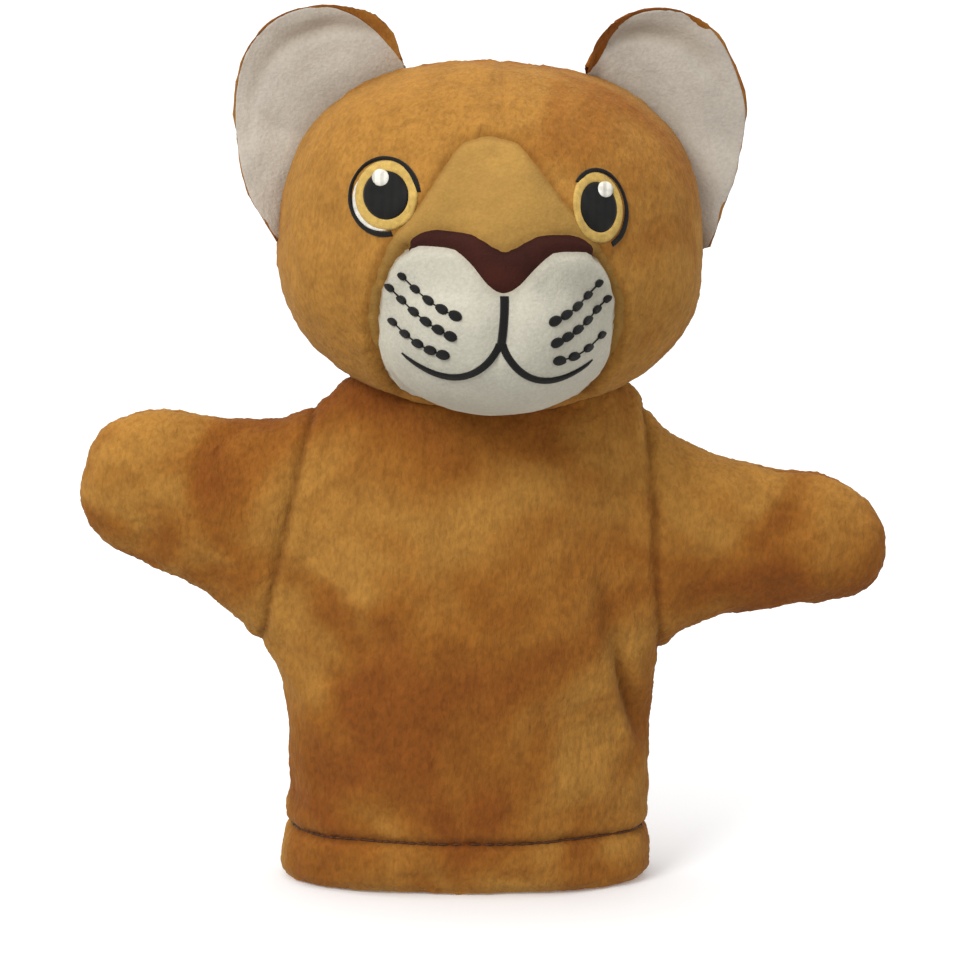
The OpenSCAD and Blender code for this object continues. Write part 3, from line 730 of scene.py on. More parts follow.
def hem_shape(mesh):
    """The turned-up hem: a fuller band below a stitched groove, with painted shade in the groove."""
    co, no = points(mesh), normals(mesh)
    z = co[:, 2]
    flat = no * np.array((1, 1, 0))
    full = 1.1 * MM * np.exp(-((z - 7.5 * MM) / (6 * MM)) ** 2)
    groove = 1.5 * MM * np.exp(-((z - HEM_TOP) / (1.3 * MM)) ** 2)
    above = 0.5 * MM * np.exp(-((z - HEM_TOP - 3.5 * MM) / (2.2 * MM)) ** 2)
    under = 1.8 * MM * np.exp(-(z / (1.8 * MM)) ** 2)
    set_points(mesh, co + flat * (full - groove + above - under)[:, None])
    # painted shade in the groove
    shade(mesh, 0.8 * np.exp(-((z - HEM_TOP) / (0.8 * MM)) ** 2))


def glove_kind(p):
    """Which panel of the glove a point lies in."""
    for side in ("left", "right"):
        seam, facing = ARMHOLES[side]
        if (p - seam).dot(facing) > 0 and p.z > ARMPIT_Z:
            s = (p - SHOULDER[side]).dot(arm_axis(side))
            part = "inner" if s < BEND_MIDDLE else "outer" if s < BEND_TO else "front" if p.y < 0 else "back"
            return arm_part(side, part)
    if p.z > NECK_MIDDLE:
        return NECK_TOP
    if p.z > NECK_FROM:
        return NECK_LOW
    return TORSO_FRONT if p.y < 0 else TORSO_BACK


def glove_joins(a, b):
    """How deep the seam between two of the glove's panels draws in; 0 where there is no seam."""
    a, b = min(a, b), max(a, b)
    if (a, b) == (TORSO_FRONT, TORSO_BACK):
        return 0.9 * sizes().seam
    armhole = a <= NECK_LOW and b in (arm_part("left", "inner"), arm_part("right", "inner"))
    arm_side = b == a + 1 and a in (arm_part("left", "front"), arm_part("right", "front"))
    return 0.7 * sizes().seam if armhole or arm_side else 0


class PUPPET_OT_glove(bpy.types.Operator):
    """Make the body, neck and arms of the glove"""

    bl_idname = "puppet.glove"
    bl_label = "Glove"

    def execute(self, context):
        ob = glove_form()
        bm = edit(ob.data)
        relax(bm, 6)
        cut_plane(bm, (0, 0, 0), (0, 0, -1), clear=True)
        cut_plane(bm, (0, 0, 0), (0, 1, 0))
        for side in ("left", "right"):
            seam, facing = ARMHOLES[side]
            cut_plane(bm, seam, facing, lambda p: p.x * SIDE[side] > CHEST_HALF and p.z > ARMPIT_Z)
            for at in (BEND_MIDDLE, BEND_TO):
                cut_plane(bm, SHOULDER[side] + arm_axis(side) * at, arm_axis(side),
                          lambda p: (p - seam).dot(facing) > 2 * MM and p.z > ARMPIT_Z)
        for z in (NECK_FROM, NECK_MIDDLE):
            cut_plane(bm, (0, 0, z), (0, 0, 1), lambda p: abs(p.x) < 60 * MM)
        cut_plane(bm, (0, 0, NECK_TO), (0, 0, 1), clear=True)
        bmesh.ops.dissolve_degenerate(bm, dist=0.05 * MM, edges=bm.edges)
        for f in bm.faces:
            f.material_index = glove_kind(f.calc_center_median())
        bm.verts.index_update()
        held = [v.index for v in bm.verts
                if v.is_boundary or len({f.material_index for f in v.link_faces}) > 1
                and any(glove_joins(a.material_index, b.material_index)
                        for a in v.link_faces for b in v.link_faces)]
        for _ in range(GLOVE_KINDS):
            ob.data.materials.append(None)
        bm.to_mesh(ob.data)
        bm.free()
        drape(ob.data)
        fill_out(ob, held, 2.5, sizes().puff * 0.7)
        subdivided(ob, 2)
        hem_shape(ob.data)
        sew(ob.data, glove_joins, 1.5 * MM)
        raise_pile(ob.data, sizes().pile, lambda k: 1.0)
        set_points(ob.data, np.maximum(points(ob.data), (-1, -1, 0)))
        plush = material("tan_plush", plush_material)
        cloth = sizes().cloth
        for index, node in ((TORSO_FRONT, "torso_front"), (TORSO_BACK, "torso_back")):
            piece = panel(ob, {index}, f"{node}_panel", cloth)
            finished(piece, plush, "torso", "tan_plush", node)
        self.bend(ob, {NECK_LOW}, "neck_lower", ("torso", "neck"), (0, 0, NECK_FROM), (0, 0, NECK_MIDDLE),
                  plush, (0.24, 0.010), "neck_band")
        self.bend(ob, {NECK_TOP}, "neck_upper", ("neck", "head"), (0, 0, NECK_MIDDLE), (0, 0, NECK_TO),
                  plush, (0.2, 0.01))
        for side in ("left", "right"):
            at = [SHOULDER[side] + arm_axis(side) * s for s in (BEND_FROM, BEND_MIDDLE, BEND_TO)]
            self.bend(ob, {arm_part(side, "inner")}, f"{side}_sleeve_inner", ("torso", f"shoulder_{side}"),
                      at[0], at[1], plush, (0.15, 0.016), f"sleeve_root_{side}")
            self.bend(ob, {arm_part(side, "outer")}, f"{side}_sleeve_outer",
                      (f"arm_{side}", f"shoulder_{side}"), at[2], at[1], plush, (0.12, 0.011))
            for part in ("front", "back"):
                piece = panel(ob, {arm_part(side, part)}, f"{side}_arm_{part}_panel", cloth)
                finished(piece, plush, f"arm_{side}", "tan_plush", f"arm_{side}_{part}")
        ob.name = "glove_skin"
        ob.hide_render = ob.hide_viewport = True
        return {"FINISHED"}

    def bend(self, ob, kinds, name, bodies, start, end, plush, flat, *replaced):
        """A stretch of cloth that crosses a joint."""
        piece = panel(ob, kinds, name, sizes().cloth)
        finished(piece, plush, None, "tan_plush", *replaced)
        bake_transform(piece)


# ---- hem ----
def body_point(a, z, inside):
    """A point round the body at height z, that far inside its outline."""
    middle, wide, deep = (along(z / MM, table) * MM for table in (BODY_MIDDLES, BODY_WIDTHS, BODY_DEPTHS))
    return Vector((middle + (wide - inside) * signed_power(math.cos(a), 2 / BODY_POWER),
                   (deep - inside) * signed_power(math.sin(a), 2 / BODY_POWER), z))


class PUPPET_OT_hem(bpy.types.Operator):
    """Make the turned-up edge inside the hem, its stitches and the label"""

    bl_idname = "puppet.hem"
    bl_label = "Hem, stitches and label"

    def execute(self, context):
        bm = bmesh.new()
        rings = ((0.8 * MM, 0.5 * MM), (3 * MM, 0.3 * MM), (8 * MM, 0.35 * MM), (HEM_TOP - 2.6 * MM, 0.9 * MM))
        skinned(bm, [lambda a, z=z, deep=sizes().cloth + inside: body_point(
            a, z, deep + 0.15 * MM * math.sin(23 * a)) for z, inside in rings], 144)
        bmesh.ops.recalc_face_normals(bm, faces=bm.faces)
        facing = new_object("hem_turn_up", mesh_from(bm, "hem_turn_up"))
        thickened(facing, 0.9 * MM)
        finished(facing, material("plush_backing", backing_material), "torso", "tan_plush", "hem_facing")
        self.stitches()
        self.label()
        return {"FINISHED"}

    def stitches(self):
        """Short threads end to end in the groove above the hem."""
        skin = BVHTree.FromBMesh(edit(bpy.data.objects["glove_skin"].data))
        count, half, thick = 96, 1.6 * MM, 0.38 * MM
        places = []
        for k in range(count):
            out = body_point(2 * math.pi * (k + 0.5) / count, HEM_TOP, -20 * MM)
            axis = Vector((0, 0, HEM_TOP))
            hit = skin.ray_cast(out, (axis - out).normalized())[0]
            places.append(hit - (axis - hit).normalized() * 0.12 * MM)
        bm = bmesh.new()
        for k, here in enumerate(places):
            ahead = places[(k + 1) % count] - places[k - 1]
            turn = Vector((1, 0, 0)).rotation_difference(ahead.normalized()).to_matrix().to_4x4()
            made = bmesh.ops.create_uvsphere(bm, u_segments=8, v_segments=6, radius=1)["verts"]
            bmesh.ops.transform(bm, matrix=Matrix.Translation(here) @ turn
                                @ Matrix.Diagonal((half, thick, thick, 1)), verts=made)
        ob = new_object("hem_stitches", mesh_from(bm, "hem_stitches"))
        finished(ob, material("stitch_thread", stitch_material), "torso", "black_thread", "hem_stitching")

    def label(self):
        """A blank folded tape in the side seam, inside the glove."""
        low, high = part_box("care_label")
        bm = bmesh.new()
        bmesh.ops.create_grid(bm, x_segments=10, y_segments=16, size=0.5)
        for v in bm.verts:
            u, w = v.co.x + 0.5, v.co.y + 0.5
            v.co = Vector((mix(low.x, high.x, 0.5) + 0.5 * MM * math.sin(2.4 * w) * (u - 0.4),
                           mix(low.y, high.y, u), mix(low.z, high.z, w)))
        bmesh.ops.recalc_face_normals(bm, faces=bm.faces)
        ob = new_object("label", mesh_from(bm, "label"))
        thickened(ob, 0.35 * MM)
        finished(ob, material("label_tape", label_material), "torso", "label_tape", "care_label")


# ---- the head, in millimetres in its own frame ----
HEAD_HALF = Vector((57.4, 43.5, 47.3))
HEAD_POWER = 2.4
SNOUT_OUT = 19.0
MUZZLE_MIDDLE = Vector((0, -27, -21.2))
MUZZLE_HALF = Vector((31.6, 37.5, 23.8))
MUZZLE_POWER = 2.15
SNOUT_FOOT = -36.0
NOSE_HALF, NOSE_TIP = 24.8, -10.0
EAR_SEAM_Y = 2.0
HEAD_KINDS = ("face_left", "face_right", "head_back_left", "head_back_right", "snout", "muzzle", "nose")
FACE_L, FACE_R, BACK_L, BACK_R, SNOUT, MUZZLE, NOSE = range(7)


def swell(x, z):
    """How far the snout stands out from the face."""
    return (SNOUT_OUT * math.exp(-(abs(x) / 27) ** 2.6)
            * math.exp(-(abs(z + 8) / (27 if z > -8 else 24)) ** 2.1))


def head_reach(d):
    """How far the plain rounded head reaches in the direction d."""
    return sum((abs(d[k]) / HEAD_HALF[k]) ** HEAD_POWER for k in range(3)) ** (-1 / HEAD_POWER)


def head_surface(d):
    """The head's skin in the direction d."""
    p = d * head_reach(d)
    p.y -= swell(p.x, p.z) * float(smooth(-3 * d.y))
    cheeks = 2.2 * math.exp(-((abs(p.x) - 44) / 18) ** 2 - ((p.z + 16) / 16) ** 2)
    p += Vector((d.x, d.y * 0.4, 0)) * cheeks
    low, high = 1.0, 1.6
    if d.y < 0.2 and muzzle_field(p) < 0:
        for _ in range(22):
            middle = (low + high) / 2
            if muzzle_field(p * middle) < 0:
                low = middle
            else:
                high = middle
        p = p * low
    return p


def muzzle_field(p):
    """Below 0 inside the muzzle: two soft lobes over a chin."""
    lobes = 1.5 * math.exp(-((abs(p.x) - 13) / 9) ** 2 - ((p.z + 14) / 12) ** 2)
    groove = -0.9 * math.exp(-(p.x / 3.5) ** 2 - ((p.z + 20) / 14) ** 2)
    q = p - MUZZLE_MIDDLE
    size = sum((abs(q[k]) / MUZZLE_HALF[k]) ** MUZZLE_POWER for k in range(3)) ** (1 / MUZZLE_POWER)
    return size * MUZZLE_HALF.y - MUZZLE_HALF.y - lobes - groove


# half the snout panel's width at heights in the head, and how far its middle leans over
SNOUT_WIDTHS = [(-42, 18), (-35, 27.5), (-29, 32), (-20, 34.2), (-11, 33.2), (1.8, 27.6), (13.7, 18),
                (20.5, 13.2), (25, 9.6), (28, 6.5), (29.5, 1), (34, -10)]
FACE_SKEW = 0.10
# the nose's lower and upper edge above its tip, by share of its half width
NOSE_LOWER = [(0, 0), (0.16, 1.9), (0.31, 6.4), (0.45, 9.6), (0.6, 11), (0.85, 10.8), (1, 9.4)]
NOSE_UPPER = [(0, 10.6), (0.12, 11.8), (0.28, 14.2), (0.45, 15.2), (0.7, 15.2), (0.86, 14.0), (0.95, 12.2),
              (1, 10.2)]


def face_x(p):
    """Distance to the side of the face's middle line, which leans above the nose."""
    return p.x + FACE_SKEW * max(0.0, p.z - NOSE_TIP)


def snout_edge(p):
    """Below 0 between the snout panel's two sides."""
    return abs(face_x(p)) - along(p.z, SNOUT_WIDTHS)


def muzzle_edge(p):
    """Below 0 inside the muzzle's outline, seen from the front."""
    half = 32.2
    tall, power = (28.4, 2.6) if p.z > MUZZLE_MIDDLE.z else (30.2, 2.2)
    out = (abs(p.x) / half) ** power + (abs(p.z - MUZZLE_MIDDLE.z) / tall) ** power
    return half * (out ** (1 / power) - 1)


def nose_upper(p):
    """Below 0 under the nose's top edge: two humps with a dip between them."""
    return p.z - NOSE_TIP - along(min(1.0, abs(p.x) / NOSE_HALF), NOSE_UPPER)


def nose_lower(p):
    """Above 0 over the nose's V, whose sides are hollow."""
    return p.z - NOSE_TIP - along(min(1.0, abs(p.x) / NOSE_HALF), NOSE_LOWER)


def nose_edge(p):
    """Below 0 inside the nose patch."""
    return max(nose_upper(p), -nose_lower(p), abs(p.x) - NOSE_HALF)


def head_kind(p):
    """Which panel of the head a point lies in."""
    if p.y > EAR_SEAM_Y:
        return BACK_L if p.x > 0 else BACK_R
    if p.y < -30 and nose_edge(p) < 0:
        return NOSE
    if p.y < -20 and muzzle_edge(p) < 0 and nose_lower(p) < 0:
        return MUZZLE
    if p.y < -20 and p.z > SNOUT_FOOT and snout_edge(p) < 0:
        return SNOUT
    return FACE_L if p.x > 0 else FACE_R


def head_joins(a, b):
    """How deep the seam between two of the head's panels draws in."""
    if a == b:
        return 0
    kinds = {a, b}
    seam = sizes().seam / MM
    if kinds in ({FACE_L, BACK_L}, {FACE_R, BACK_R}):
        return 0.9 * seam
    if kinds == {FACE_L, FACE_R}:
        return 0.1 * seam
    if kinds == {BACK_L, BACK_R}:
        return 0.7 * seam
    if NOSE in kinds:
        return 0.35 * seam
    return (1.1 if MUZZLE in kinds else 0.5) * seam


def head_form():
    """The whole head as one closed skin, cut along its seams."""
    bm = bmesh.new()
    bmesh.ops.create_cube(bm, size=2)
    bmesh.ops.subdivide_edges(bm, edges=bm.edges, cuts=40, use_grid_fill=True)
    for v in bm.verts:
        angles = [math.tan(c * math.pi / 4) for c in v.co]
        v.co = head_surface(Vector(angles).normalized())
    relax(bm, 2)
    cut_along(bm, lambda p: p.y - EAR_SEAM_Y, lambda p: True, 0.5)
    cut_along(bm, lambda p: p.x, lambda p: True, 0.5)
    cut_along(bm, muzzle_edge, lambda p: p.y < -18, 0.45)
    cut_along(bm, snout_edge, lambda p: p.y < -18 and p.z > SNOUT_FOOT, 0.45)
    cut_along(bm, nose_upper, lambda p: p.y < -35 and abs(p.x) < NOSE_HALF + 2 and abs(p.z) < 12, 0.4)
    cut_along(bm, nose_lower, lambda p: p.y < -35 and abs(p.x) < NOSE_HALF + 2 and p.z > -18, 0.4)
    bmesh.ops.dissolve_degenerate(bm, dist=0.04, edges=bm.edges)
    for f in bm.faces:
        f.material_index = head_kind(f.calc_center_median())
    return bm


class PUPPET_OT_head(bpy.types.Operator):
    """Make the stuffed head's panels"""

    bl_idname = "puppet.head"
    bl_label = "Head"

    def execute(self, context):
        bm = head_form()
        bm.verts.index_update()
        held = [v.index for v in bm.verts if len({f.material_index for f in v.link_faces}) > 1]
        mesh = mesh_from(bm, "head")
        mesh.transform(Matrix.Diagonal((MM, MM, MM, 1)))
        ob = new_object("head_skin", mesh)
        for _ in HEAD_KINDS:
            ob.data.materials.append(None)
        fill_out(ob, held, 3.0, sizes().puff * 0.45)
        subdivided(ob, 1)
        co, no = points(ob.data), normals(ob.data)
        lumps = 0.8 * rough(co, 19 * MM, 21) + 0.35 * rough(co, 9 * MM, 22)
        set_points(ob.data, co + no * (lumps * 0.8 * MM)[:, None])
        sew(ob.data, lambda a, b: head_joins(a, b) * MM, 1.5 * MM)
        short = {SNOUT: 0.45, MUZZLE: 0.3, NOSE: 0.35}
        raise_pile(ob.data, sizes().pile, lambda k: short.get(k, 1.0))
        looks = {
            SNOUT: ("snout_velour", snout_material, "snout_panel"),
            MUZZLE: ("white_velour", muzzle_material, "muzzle_panel"),
            NOSE: ("nose_velour", nose_material, "nose_patch"),
        }
        for index, kind in enumerate(HEAD_KINDS):
            slot, make, node = looks.get(index, ("tan_plush", head_plush_material, kind))
            name = kind if index in looks else f"{kind}_panel"
            piece = panel(ob, {index}, name, sizes().cloth, HEAD_FRAME)
            finished(piece, material(kind if index in looks else "head_plush", make), "head", slot, node)
        self.inside(ob)
        ob.hide_render = ob.hide_viewport = True
        return {"FINISHED"}

    def inside(self, skin):
        """The fibre fill under the skin, open for the finger pocket, and the pocket's own cloth."""
        bm = edit(skin.data)
        bmesh.ops.unsubdivide(bm, verts=bm.verts, iterations=2)
        relax(bm, 1)
        bm.normal_update()
        shift = {v: v.normal * 2.6 * MM for v in bm.verts}
        for v, by in shift.items():
            v.co -= by
        fill = new_object("fibre_fill", mesh_from(bm, "fibre_fill"))
        fill.data.transform(HEAD_FRAME)
        bore = bmesh.new()
        bmesh.ops.create_cone(bore, cap_ends=True, segments=48, radius1=POCKET_R + 1.2 * MM,
                              radius2=POCKET_R + 1.2 * MM, depth=2 * POCKET_UP)
        cutter = new_object("pocket_space", mesh_from(bore, "pocket_space"))
        cutter.data.transform(Matrix.Translation(POCKET + Vector((0, 0, 1.2 * MM))))
        cut = fill.modifiers.new("pocket", "BOOLEAN")
        cut.operation = "DIFFERENCE"
        cut.object = cutter
        cut.solver = "EXACT"
        applied(fill)
        bpy.data.objects.remove(cutter)
        finished(fill, material("fibre_fill", fibre_material), "head", "fibre_fill", "head_stuffing")
        bm = bmesh.new()
        bmesh.ops.create_circle(bm, segments=48, radius=POCKET_R + 0.6 * MM)
        edges = bm.edges[:]
        bmesh.ops.translate(bm, verts=bm.verts, vec=POCKET)
        rise = POCKET_UP / 12
        for k in range(12):
            grown = bmesh.ops.extrude_edge_only(bm, edges=edges)["geom"]
            verts = [g for g in grown if isinstance(g, bmesh.types.BMVert)]
            edges = [g for g in grown if isinstance(g, bmesh.types.BMEdge)
                     and all(v in verts for v in g.verts)]
            bmesh.ops.translate(bm, verts=verts, vec=(0, 0, rise))
            if k > 8:
                narrower = 0.9 - 0.12 * (k - 8)
                bmesh.ops.scale(bm, verts=verts, vec=(narrower, narrower, 1), space=Matrix.Translation(-POCKET))
        bmesh.ops.edgeloop_fill(bm, edges=edges)
        bmesh.ops.recalc_face_normals(bm, faces=bm.faces)
        pocket = new_object("finger_sleeve", mesh_from(bm, "finger_sleeve"))
        thickened(pocket, 0.6 * MM)
        finished(pocket, material("pocket_cloth", backing_material), "head", "pocket_cloth", "finger_pocket")


# ---- ears ----
# the height angles between which an ear's base is sewn on, and the middle and size of its hollow
EAR_BASE = (math.radians(60), math.radians(-4))
EAR_BOWL, EAR_BOWL_R = Vector((46.5, 31)), 29
EAR_CUP = 8.0
EAR_HALF_THICK = 2.6
# the rim of each ear in the head's front view: share of the way round, then how far out and up it is
EAR_RIM = {
    "right": [(0, 27.0, 47.6), (0.07, 30, 55), (0.14, 35.6, 59.8), (0.27, 49.4, 61.6), (0.4, 62.2, 57.2),
              (0.53, 70.4, 46.4), (0.68, 72.2, 29.6), (0.86, 68, 10.2), (1, 59.0, -3.6)],
    "left": [(0, 23.6, 47.4), (0.1, 26.8, 56.2), (0.21, 33.6, 62.4), (0.32, 43.6, 64.8), (0.43, 53.6, 62.8),
             (0.55, 62.0, 55.6), (0.68, 68.4, 42), (0.78, 69.4, 31), (0.92, 65.4, 12.6), (1, 60.0, -0.6)],
}


def ear_fold(s, t):
    """How deep a point lies in the soft fold inside the rim, from 0 to 1."""
    return math.exp(-((t - 0.76) / 0.085) ** 2) * math.exp(-((s - 0.28) / 0.24) ** 2)


def up_ear(q):
    """How far from the base to the rim a point lies, on either face of an ear."""
    return min(1.0, q if q <= 1 else 2 - q)


def ear_point(side, s, q):
    """A point of an ear in its place: s runs along the base, q up the back to the rim at 1 and down the front."""
    t = up_ear(q)
    el = mix(*EAR_BASE, s)
    d = Vector((math.cos(el), 0, math.sin(el)))
    foot = Vector((d.x, d.z)) * (head_reach(d) - 2.0)
    rim = Vector([along(s, [(row[0], row[k]) for row in EAR_RIM[side]]) for k in (1, 2)])
    at = foot.lerp(rim, t)
    curl = -EAR_CUP * (((at - EAR_BOWL).length / EAR_BOWL_R) ** 2 - 0.55) * t
    curl -= 4.5 * math.exp(-(s / 0.16) ** 2) * t ** 1.5
    curl += 2.0 * ear_fold(s, t)
    thick = EAR_HALF_THICK * math.sqrt(max(0.0, 1 - t ** 5)) * (0.55 + 0.45 * math.sin(math.pi * min(1, t)))
    thick *= min(1.0, 0.35 + 6 * min(s, 1 - s))
    return Vector((at.x, EAR_SEAM_Y + curl + (thick if q <= 1 else -thick), at.y))


def rim_turn(s):
    """How far the back's cloth turns over the rim onto the front."""
    return 0.03 + 0.36 * math.exp(-((s - 0.05) / 0.12) ** 2)


class PUPPET_OT_ears(bpy.types.Operator):
    """Make the two ears, each a lining sewn to a back"""

    bl_idname = "puppet.ears"
    bl_label = "Ears"

    def execute(self, context):
        for side in ("left", "right"):
            for name, q_from, outward, pile, slot, make in (
                    ("ear_back", 0.0, 1, 1.0, "tan_plush", head_plush_material),
                    ("ear_lining", 2.0, -1, 0.35, "ear_velour", lining_material)):
                bm = bmesh.new()
                bmesh.ops.create_grid(bm, x_segments=64, y_segments=48, size=0.5)
                painted_shade_share = []
                for v in bm.verts:
                    s = 0.004 + 0.992 * (v.co.x + 0.5)
                    q = mix(q_from, 1 + rim_turn(s), v.co.y + 0.5)
                    t = up_ear(q)
                    # painted shade near the base, where the ear meets the head, and in the lining's fold
                    painted_shade_share.append(0.6 * math.exp(-(t / 0.2) ** 2) + (0.5 * ear_fold(s, t) if q_from else 0))
                    v.co = ear_point(side, s, q)
                    v.co.x *= SIDE[side]
                bm.normal_update()
                middle = sum((v.co for v in bm.verts), Vector()) / len(bm.verts)
                face = min(bm.faces, key=lambda f: (f.calc_center_median() - middle).length)
                if face.normal.y * outward < 0:
                    bmesh.ops.reverse_faces(bm, faces=bm.faces)
                mesh = mesh_from(bm, f"{side}_{name}")
                mesh.transform(Matrix.Diagonal((MM, MM, MM, 1)))
                ob = new_object(f"{side}_{name}_panel", mesh)
                shade(mesh, np.array(painted_shade_share))
                co, no = points(mesh), normals(mesh)
                lumps = 1.1 * rough(co, 15 * MM, 31 + SIDE[side]) + 0.5 * rough(co, 7 * MM, 33)
                clumps = sizes().pile * pile * (0.8 * rough(co, 1.5 * MM, 2) + 0.6 * rough(co, 0.9 * MM, 5))
                set_points(mesh, co + no * (lumps * MM + clumps)[:, None])
                thickened(ob, 0.22 * MM)
                ob.data.transform(HEAD_FRAME)
                finished(ob, material(slot, make), "head", slot, f"{name}_{side}")
        return {"FINISHED"}


# ---- embroidery ----
ON_SKIN = 0.12 * MM


class Face:
    """Finds places on the head's skin from the front, and lays embroidery on them."""

    def __init__(self):
        skin = bpy.data.objects["head_skin"]
        bm = edit(skin.data)
        relax(bm, 2)
        self.tree = BVHTree.FromBMesh(bm)
        bm.free()

    def at(self, x, z, lift=0.0):
        """The skin at (x, z), in millimetres seen from the front, raised by lift."""
        hit, normal, _, _ = self.tree.ray_cast(Vector((x, -120, z)) * MM, Vector((0, 1, 0)))
        if hit is None:
            raise ValueError(f"no skin at {x}, {z}")
        return hit + normal * lift

    def band(self, bm, path, width, rows, columns, height, closed=False):
        """A raised satin band along path(u), with a half width from width(u)."""
        uv = bm.loops.layers.uv.verify()
        made = bmesh.ops.create_grid(bm, x_segments=rows, y_segments=columns, size=0.5)["verts"]
        length = sum((path((k + 1) / 40) - path(k / 40)).length for k in range(40))
        place = {}
        for v in made:
            u, w = v.co.x + 0.5, v.co.y * 2
            step = 1e-3
            along_it = path(min(1, u + step)) - path(max(0, u - step))
            across = Vector((-along_it.y, along_it.x)).normalized()
            flat = path(u) + across * (w * width(u))
            end = 1 if closed else min(1, 14 * min(u, 1 - u))
            dome = height * math.sqrt(max(0, 1 - w ** 4)) * (0.3 + 0.7 * end)
            place[v] = (u * length, w)
            v.co = self.at(flat.x, flat.y, ON_SKIN + dome)
        for f in {f for v in made for f in v.link_faces}:
            for loop in f.loops:
                loop[uv].uv = place[loop.vert]

    def disc(self, bm, place, height):
        """A low satin dome; place turns a point of the unit circle into one on the face."""
        rings = 8
        uv = bm.loops.layers.uv.verify()
        bmesh.ops.create_circle(bm, segments=48, radius=1, cap_ends=True, cap_tris=True)
        for k in range(1, rings):
            spokes = [e for e in bm.edges if min(v.co.length for v in e.verts) < 1e-6]
            cut = bmesh.ops.subdivide_edges(bm, edges=spokes, cuts=1)["geom_inner"]
            for v in cut:
                if isinstance(v, bmesh.types.BMVert):
                    v.co = v.co.normalized() * (1 - k / rings)
        flat = {}
        for v in bm.verts:
            r = v.co.length
            p = place(v.co)
            flat[v] = p * MM
            v.co = self.at(p.x, p.y, ON_SKIN + height * math.sqrt(max(0, 1 - 0.9 * r ** 4)))
        for f in bm.faces:
            for loop in f.loops:
                loop[uv].uv = flat[loop.vert]

    def finish(self, bm, name, slot, make, node):
        """Makes the embroidery a piece, with its threads' thickness."""
        bmesh.ops.remove_doubles(bm, verts=bm.verts, dist=0.02 * MM)
        bm.normal_update()
        turned = [f for f in bm.faces if f.normal.y > 0]
        if len(turned) > len(bm.faces) / 2:
            bmesh.ops.reverse_faces(bm, faces=bm.faces)
        ob = new_object(name, mesh_from(bm, name))
        thickened(ob, 0.5 * MM)
        ob.data.transform(HEAD_FRAME)
        finished(ob, material(slot, make), "head", slot, node)


# each eye: its middle, its lean in degrees, the half width and height of its outline, pupil and gold ring,
# where the highlight lies, and the angle where the outline and the eye white start and how far round they run
EYES = {
    "right": {"middle": Vector((-30.4, 12.7)), "lean": 13, "size": (8.7, 9.8), "pupil": (5.9, 6.2),
              "ring": (7.8, 8.8), "shine": (2.3, 3.8), "line": (158, -278),
              "white": (12, -125)},
    "left": {"middle": Vector((24.9, 12.0)), "lean": 14, "size": (7.2, 9.9), "pupil": (5.1, 6.5),
             "ring": (6.5, 8.9), "shine": (2.7, 3.8), "line": (128, -208),
             "white": (118, 75)},
}


class PUPPET_OT_eyes(bpy.types.Operator):
    """Embroider the two eyes"""

    bl_idname = "puppet.eyes"
    bl_label = "Eyes"

    def execute(self, context):
        face = Face()
        height = sizes().thread
        for side, eye in EYES.items():
            turn = Matrix.Rotation(math.radians(eye["lean"]) * SIDE[side], 2)

            def place(x, z):
                """A place in the eye's own front view, x away from the nose, on the face."""
                return eye["middle"] + turn @ Vector((x * SIDE[side], z))

            def ring(half, start=0.0, sweep=360.0, off=0.0):
                """A path round the eye; 0 degrees is its outer side and angles run upwards."""
                return lambda u: place(off + half[0] * math.cos(math.radians(start + sweep * u)),
                                       half[1] * math.sin(math.radians(start + sweep * u)) - off)

            size, iris, pupil, shine = (Vector(eye[key]) for key in ("size", "ring", "pupil", "shine"))
            start, sweep = eye["line"]
            plan = (
                ("white", "white_thread", white_thread, "eye_white",
                 ring(size - Vector((1.1, 1.1)), *eye["white"], 0.45),
                 lambda u: 0.1 + 0.65 * math.sin(math.pi * min(1, max(0, u))), 0.4 * height, False),
                ("iris", "gold_thread", gold_thread, "iris", ring((iris + pupil) / 2),
                 lambda u, gap=(iris - pupil) / 2: 0.3 + mix(gap.x, gap.y, math.sin(2 * math.pi * u) ** 2),
                 0.7 * height, True),
                ("outline", "black_thread", black_thread, "eye_outline", ring(size, start, sweep, 0.45),
                 lambda u: 0.30 + 0.42 * abs(math.cos(math.pi * u)) ** 1.5, 0.9 * height, False),
            )
            for part, slot, make, node, path, width, lift, closed in plan:
                bm = bmesh.new()
                face.band(bm, path, width, 96, 6, lift, closed)
                face.finish(bm, f"{side}_eye_{part}", slot, make, f"{node}_{side}")
            for part, slot, make, node, half, middle, lift in (
                    ("pupil", "black_thread", black_thread, "pupil", pupil, Vector((0, 0)), 1.1 * height),
                    ("highlight", "white_thread", white_thread, "highlight", Vector((2.3, 2.3)), shine,
                     1.7 * height)):
                bm = bmesh.new()
                face.disc(bm, lambda p, m=middle, h=half: place(m.x + h.x * p.x, m.y + h.y * p.y), lift)
                face.finish(bm, f"{side}_eye_{part}", slot, make, f"{node}_{side}")
        return {"FINISHED"}


# how high the mouth's line forks into its two sides
MOUTH_FORK = -22.3


class PUPPET_OT_mouth(bpy.types.Operator):
    """Embroider the mouth"""

    bl_idname = "puppet.mouth"
    bl_label = "Mouth"

    def execute(self, context):
        face = Face()
        bm = bmesh.new()

        def lip_line(way):
            return lambda u: Vector((way * (0.4 + 24.5 * u), MOUTH_FORK - 0.4 - 9.6 * math.sin(
                math.radians(150) * u ** 0.72)))

        face.band(bm, lambda u: Vector((0.5 * math.sin(2.2 * u), mix(MOUTH_FORK - 1.5, NOSE_TIP - 0.6, u))),
                  lambda u: 1.15, 40, 6, sizes().thread)
        for way in (-1, 1):
            face.band(bm, lip_line(way), lambda u: mix(1.0, 0.18, u ** 2.2), 90, 6, 0.9 * sizes().thread)
        face.finish(bm, "mouth", "black_thread", black_thread, "mouth_embroidery")
        return {"FINISHED"}


